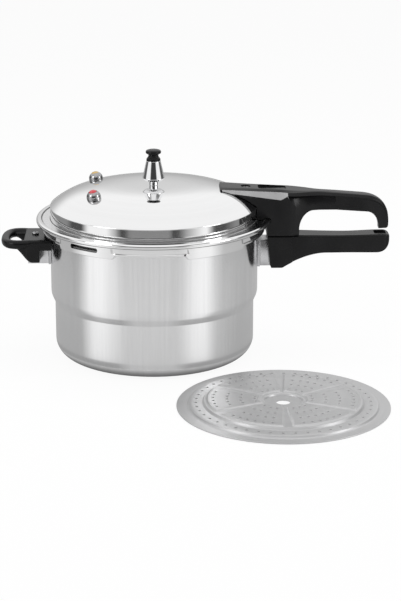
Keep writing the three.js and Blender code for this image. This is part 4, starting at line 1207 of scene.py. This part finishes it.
# Steam rack: a plate of matt aluminium, pressed in steps, that lies on the pot's inner ledge in use.
# It has a ring of holes and six raised panels of holes round a hub with an eye.
rack_sheet = 1.5
rack_outer = 118.5
rack_eye = 8
rack_ring = 3
rack_plate = 6
rack_steps = [(rack_eye, rack_ring), (20, rack_ring), (22.5, rack_plate), (87.5, rack_plate),
              (90, rack_ring), (104, rack_ring), (106.5, 0), (rack_outer, 0)]
panel_count = 6
panel_pitch = 2 * math.pi / panel_count
panel_half = math.radians(26)
panel_inside = 26
panel_outside = 84.5
panel_rise = 1.1
panel_rib = 1.0
panel_rows = (3, 4, 5, 6)
panel_arc = math.radians(42)
first_row = 32
row_step = 15.33
ring_hole_count = 46
ring_hole_reach = 97
hole_radius = 1.8
rack_place = Vector((142, -202, 0))


def rack_level(radius, angle):
    """Height of the rack's underside: its pressed steps and its raised panels."""
    level = eased(radius, rack_steps)
    away = abs((angle + panel_pitch / 2) % panel_pitch - panel_pitch / 2)
    inside = min(radius - panel_inside, panel_outside - radius, (panel_half - away) * radius)
    rib = panel_rib * eased(abs(inside - 0.6), [(0, 1), (1.8, 0)])
    return level + panel_rise * eased(inside, [(0, 0), (2.2, 1)]) + rib


rack_radii = {rack_eye + 2.1 * i for i in range(53)} | {rack_outer}
rack_radii |= {r + d for r, _ in rack_steps for d in (0.6, 1.2, 1.9)}
rack_radii |= {panel_inside - 1.2 + 0.6 * i for i in range(7)}
rack_radii |= {panel_outside + 1.2 - 0.6 * i for i in range(7)}
rack_radii = sorted(r for r in rack_radii if r <= rack_outer)


def rack_section(angle):
    """The rack's section at this angle: its underside outwards and its upper side back."""
    under = [(r, rack_level(r, angle)) for r in rack_radii]
    over = [(r, z + rack_sheet) for r, z in reversed(under)]
    return under[:-1] + [(*under[-1], 0.5), (*over[0], 0.6)] + over[1:]


rack = turned("steam_rack_pressed", rack_section, sides=360)


def drilled(name, radius, height):
    """A drill's path through the rack, at a distance from its axis."""
    foot, top = height - 2, height + 4
    return turned(name, [(0, foot), (hole_radius, foot), (hole_radius, top), (0, top)],
                  sides=14, place=Matrix.Translation((radius, 0, 0)))


matt_aluminium = turned_metal(
    "matt_aluminium", (0.5, 0.5, 0.504), (0.56, 0.56, 0.564), 0.34, 0.42, 0.06, across=1200.0)
matt_aluminium.node_tree.nodes["Principled BSDF"].inputs["Metallic"].default_value = 0.5
ring_pitch = 2 * math.pi / ring_hole_count
hole = drilled("hole", ring_hole_reach, rack_ring)
holes = repeated("ring_holes", hole, ring_hole_count, 0, ring_pitch, matt_aluminium)
combined(rack, holes, "DIFFERENCE")
for row, count in enumerate(panel_rows):
    step = panel_arc / count
    hole = drilled("hole", first_row + row_step * row, rack_plate)
    row_holes = repeated("row_holes", hole, count, -step * (count - 1) / 2, step, matt_aluminium)
    holes = repeated("panel_holes", row_holes, panel_count, 0, panel_pitch, matt_aluminium)
    combined(rack, holes, "DIFFERENCE")
rack.data.transform(Matrix.Translation(rack_place * MM))
dressed(rack, matt_aluminium, "rack", "steam_rack")
# The photograph shows the rack as an insert of its own, so the pot's wall doesn't mirror it.
rack.visible_glossy = False

# Studio: a white floor under soft light, with glowing grey cards that only reflections see.
# The cards glow with their grey and paint the reflections of the dark and grey parts of a studio, which give
# polished metal its bands.
white = (1, 1, 1, 1)
seen_white = 0.93


def seen_directly(tree):
    """1 for rays that the viewer sees, also by reflection or through glass."""
    path = add(tree, "ShaderNodeLightPath")
    either = add(tree, "ShaderNodeMath", {0: path.outputs["Is Camera Ray"], 1: path.outputs["Is Glossy Ray"]},
                 operation="MAXIMUM")
    return add(tree, "ShaderNodeMath", {0: either.outputs[0], 1: path.outputs["Is Transmission Ray"]},
               operation="MAXIMUM").outputs[0]


world = bpy.data.worlds.new("studio_air")
world.use_nodes = True
bpy.context.scene.world = world
tree = world.node_tree
soft = add(tree, "ShaderNodeBackground", {"Color": white, "Strength": 0.5})
bright = add(tree, "ShaderNodeBackground", {"Color": white, "Strength": 1})
mixed = add(tree, "ShaderNodeMixShader", {0: seen_directly(tree), 1: soft.outputs[0], 2: bright.outputs[0]})
tree.links.new(mixed.outputs[0], tree.nodes["World Output"].inputs["Surface"])


def flat_material(name):
    """An empty material with only its output."""
    material = bpy.data.materials.new(name)
    material.use_nodes = True
    material.node_tree.nodes.remove(material.node_tree.nodes["Principled BSDF"])
    return material, material.node_tree, material.node_tree.nodes["Material Output"].inputs["Surface"]


paper, tree, surface = flat_material("white_paper")
matte = add(tree, "ShaderNodeBsdfDiffuse", {"Color": (0.9, 0.9, 0.9, 1)})
glow = add(tree, "ShaderNodeEmission", {"Color": white, "Strength": 1})
share = add(tree, "ShaderNodeMath", {0: seen_directly(tree), 1: seen_white}, operation="MULTIPLY")
mixed = add(tree, "ShaderNodeMixShader", {0: share.outputs[0], 1: matte.outputs[0], 2: glow.outputs[0]})
tree.links.new(mixed.outputs[0], surface)
half_floor = 7000
floor_level = -0.4
floor_corners = [(-half_floor, -half_floor, floor_level), (half_floor, -half_floor, floor_level),
                 (half_floor, half_floor, floor_level), (-half_floor, half_floor, floor_level)]
floor = meshed("floor", floor_corners, [(0, 1, 2, 3)])
floor.data.materials.append(paper)


glowing_card, tree, surface = flat_material("glowing_card")
shade = add(tree, "ShaderNodeAttribute", attribute_name="shade")
tree.links.new(add(tree, "ShaderNodeEmission", {"Color": shade.outputs["Color"]}).outputs[0], surface)


def card(name, across, along, place, grey):
    """A glowing card of the studio that only reflections see, over a grid of two values that set place and
    the grey it glows with.
    """
    grid = [(a, b) for a in across for b in along]
    count = len(along)
    corners = [i * count + k for i in range(len(across) - 1) for k in range(count - 1)]
    faces = [(c, c + 1, c + count + 1, c + count) for c in corners]
    piece = meshed(name, [place(a, b) for a, b in grid], faces)
    layer = piece.data.color_attributes.new("shade", "FLOAT_COLOR", "POINT")
    for entry, (a, b) in zip(layer.data, grid):
        entry.color = (*[grey(a, b)] * 3, 1)
    piece.data.materials.append(glowing_card)
    for kind in ("camera", "diffuse", "transmission", "volume_scatter", "shadow"):
        setattr(piece, f"visible_{kind}", False)


def ahead_of_wall(angle, reach):
    """Where the floor shows in the pot's wall, at an angle from its front and a distance before it."""
    turn = math.radians(angle)
    return (pot_radius * math.sin(turn) + reach * math.sin(2 * turn),
            -pot_radius * math.cos(turn) - reach * math.cos(2 * turn), 0)


def around_floor(bearing, radius):
    """A place just over the floor, by its bearing from the front."""
    turn = math.radians(bearing)
    return radius * math.sin(turn), -radius * math.cos(turn), floor_level / 2


sky_radius = 3200
sky_middle = 150


def around_sky(bearing, rise):
    """A place in the air round the cooker, by its bearing from the front and its rise."""
    turn, up = math.radians(bearing), math.radians(rise)
    reach = sky_radius * math.cos(up)
    return reach * math.sin(turn), -reach * math.cos(turn), sky_middle + sky_radius * math.sin(up)


step_end = 34
body_start = 60
body_near = 120
body_far = 300
body_end = 598
lid_start = 610
lid_end = 700
paper_start = 860
white_strip = 1
front_paper = 0.71
edge_paper = 0.58
side_paper = 0.49
step_paper = 0.55
step_shade = 0.35
grey_paper = 0.26
dim_paper = 0.14
dark_flag = 0.08
# The cards before the cooker, by the angle from its front, with soft edges between them.
body_greys = [
    (-47, side_paper), (-37.5, white_strip), (-31, white_strip), (-17, front_paper),
    (13, front_paper), (23.5, white_strip), (30, white_strip), (38, edge_paper), (57, side_paper)]
step_greys = [(-24, step_shade), (-14, step_paper), (10, step_paper), (22, step_shade)]
lid_greys = [
    (-56, grey_paper), (-51, dark_flag), (-43, dark_flag), (-38.5, white_strip), (-26.5, white_strip),
    (-18, dark_flag), (-16, dark_flag), (-13, grey_paper), (8.5, grey_paper), (10.5, dark_flag),
    (13, dark_flag), (28, white_strip), (30, white_strip), (35, dark_flag), (42, dark_flag),
    (51, grey_paper), (58, grey_paper), (62.5, dim_paper)]
# Greys of the floor by the distance from the pot's axis: in its shadow, and behind it.
foot_greys = [(104, 0.1), (113, 0.22), (121, 0.44), (125, 0.52)]
behind_greys = [(150, 0.34), (3100, 0.42)]


def floor_grey(angle, reach):
    """The floor before the cooker: a band for the step, then for the body, and further out for the lid."""
    body = straight(angle, body_greys)
    lid = straight(angle, lid_greys)
    if reach < body_start:
        return eased(reach, [(step_end, straight(angle, step_greys)), (body_start, 0.9 * body)])
    if reach <= lid_start:
        body *= eased(reach, [(body_near, 0.9), (body_far, 1)])
        return eased(reach, [(body_end, body), (lid_start, lid)])
    return eased(reach, [(lid_end, lid), (paper_start, 1)])


def foot_grey(bearing, radius):
    """The floor under the pot, in its shadow."""
    return straight(radius, foot_greys)


def behind_grey(bearing, radius):
    """The floor behind the cooker, which the crown's far edge shows."""
    return straight(radius, behind_greys)


def sky_grey(bearing, rise):
    """The studio round the cooker: dark low in front, dark bands beside it, and paler upwards behind."""
    front = straight(rise, [(26, 0.05), (36, 1)])
    side = straight(rise, [(21, 1), (27, 0.25), (44, 0.25), (54, 1)])
    wing = straight(rise, [(18, 0.12), (25, 1)])
    back = straight(rise, [(-2, 0.42), (8, 0.52), (13, 0.64), (17, 0.82), (22, 1)])
    around = abs(bearing)
    if around < 60:
        return eased(around, [(28, front), (40, side)])
    return eased(around, [(82, side), (90, wing), (124, wing), (144, back)])


front_angles = [1.5 * i - 90 for i in range(121)]
reaches = [2, step_end, 47, body_start, body_near, 180, 240, body_far, body_end, 602, 606, lid_start, lid_end,
           740, 780, 820, paper_start]
card("floor_before", front_angles, reaches, ahead_of_wall, floor_grey)
all_round = [10 * i for i in range(37)]
card("floor_under", all_round, [1] + [radius for radius, _ in foot_greys], around_floor, foot_grey)
rear_bearings = [75 + 5 * i for i in range(43)]
card("floor_behind", rear_bearings, [150, 400, 900, 1600, 3100], around_floor, behind_grey)
sky_bearings = [2 * i - 180 for i in range(181)]
rises = [-2, 3, 8, 13, 18, 21, 24, 27, 31, 36, 44, 49, 54, 78]
card("studio_round", sky_bearings, rises, around_sky, sky_grey)


def soft_light(name, place, size, power):
    """A large soft lamp aimed at the middle of the cooker."""
    lamp = bpy.data.lights.new(name, "AREA")
    lamp.shape = "ELLIPSE"
    lamp.size, lamp.size_y = size
    lamp.energy = power
    holder = linked(name, lamp)
    holder.location = place
    holder.rotation_euler = (Vector((0, 0, 0.1)) - Vector(place)).to_track_quat("-Z", "Y").to_euler()
    return holder


soft_light("lamp_over", (0.1, 0.1, 1.9), (1.4, 1.4), 16).visible_glossy = False
soft_light("lamp_left", (-1.6, -1.0, 1.3), (1.0, 1.0), 9)
soft_light("lamp_right", (1.8, -0.7, 1.1), (0.8, 1.0), 8)

# Camera: in front of the cooker and a little above it.
# Its height, distance and lens are solved from the ellipses of the rim, the step and the base.
camera_distance = 2.2
camera_rise = math.radians(16.5)
camera_roll = math.radians(0.4)
camera_target = Vector((0, 0, 0.08))
picture_height = 601
focal_pixels = 1916
target_pixel = (154.3, 285.7)
picture_middle = (200.5, 300.5)
lens = bpy.data.cameras.new("camera")
lens.lens = lens.sensor_width * focal_pixels / picture_height
lens.shift_x = (picture_middle[0] - target_pixel[0]) / picture_height
lens.shift_y = (target_pixel[1] - picture_middle[1]) / picture_height
camera = linked("camera", lens)
camera.location = camera_target + Vector((0, -camera_distance, camera_distance * math.tan(camera_rise)))
aim = (camera_target - camera.location).to_track_quat("-Z", "Y")
camera.rotation_euler = (aim @ Matrix.Rotation(-camera_roll, 3, "Z").to_quaternion()).to_euler()
bpy.context.scene.camera = camera
bpy.context.scene.view_settings.view_transform = "Standard"

bpy.context.view_layer.update()
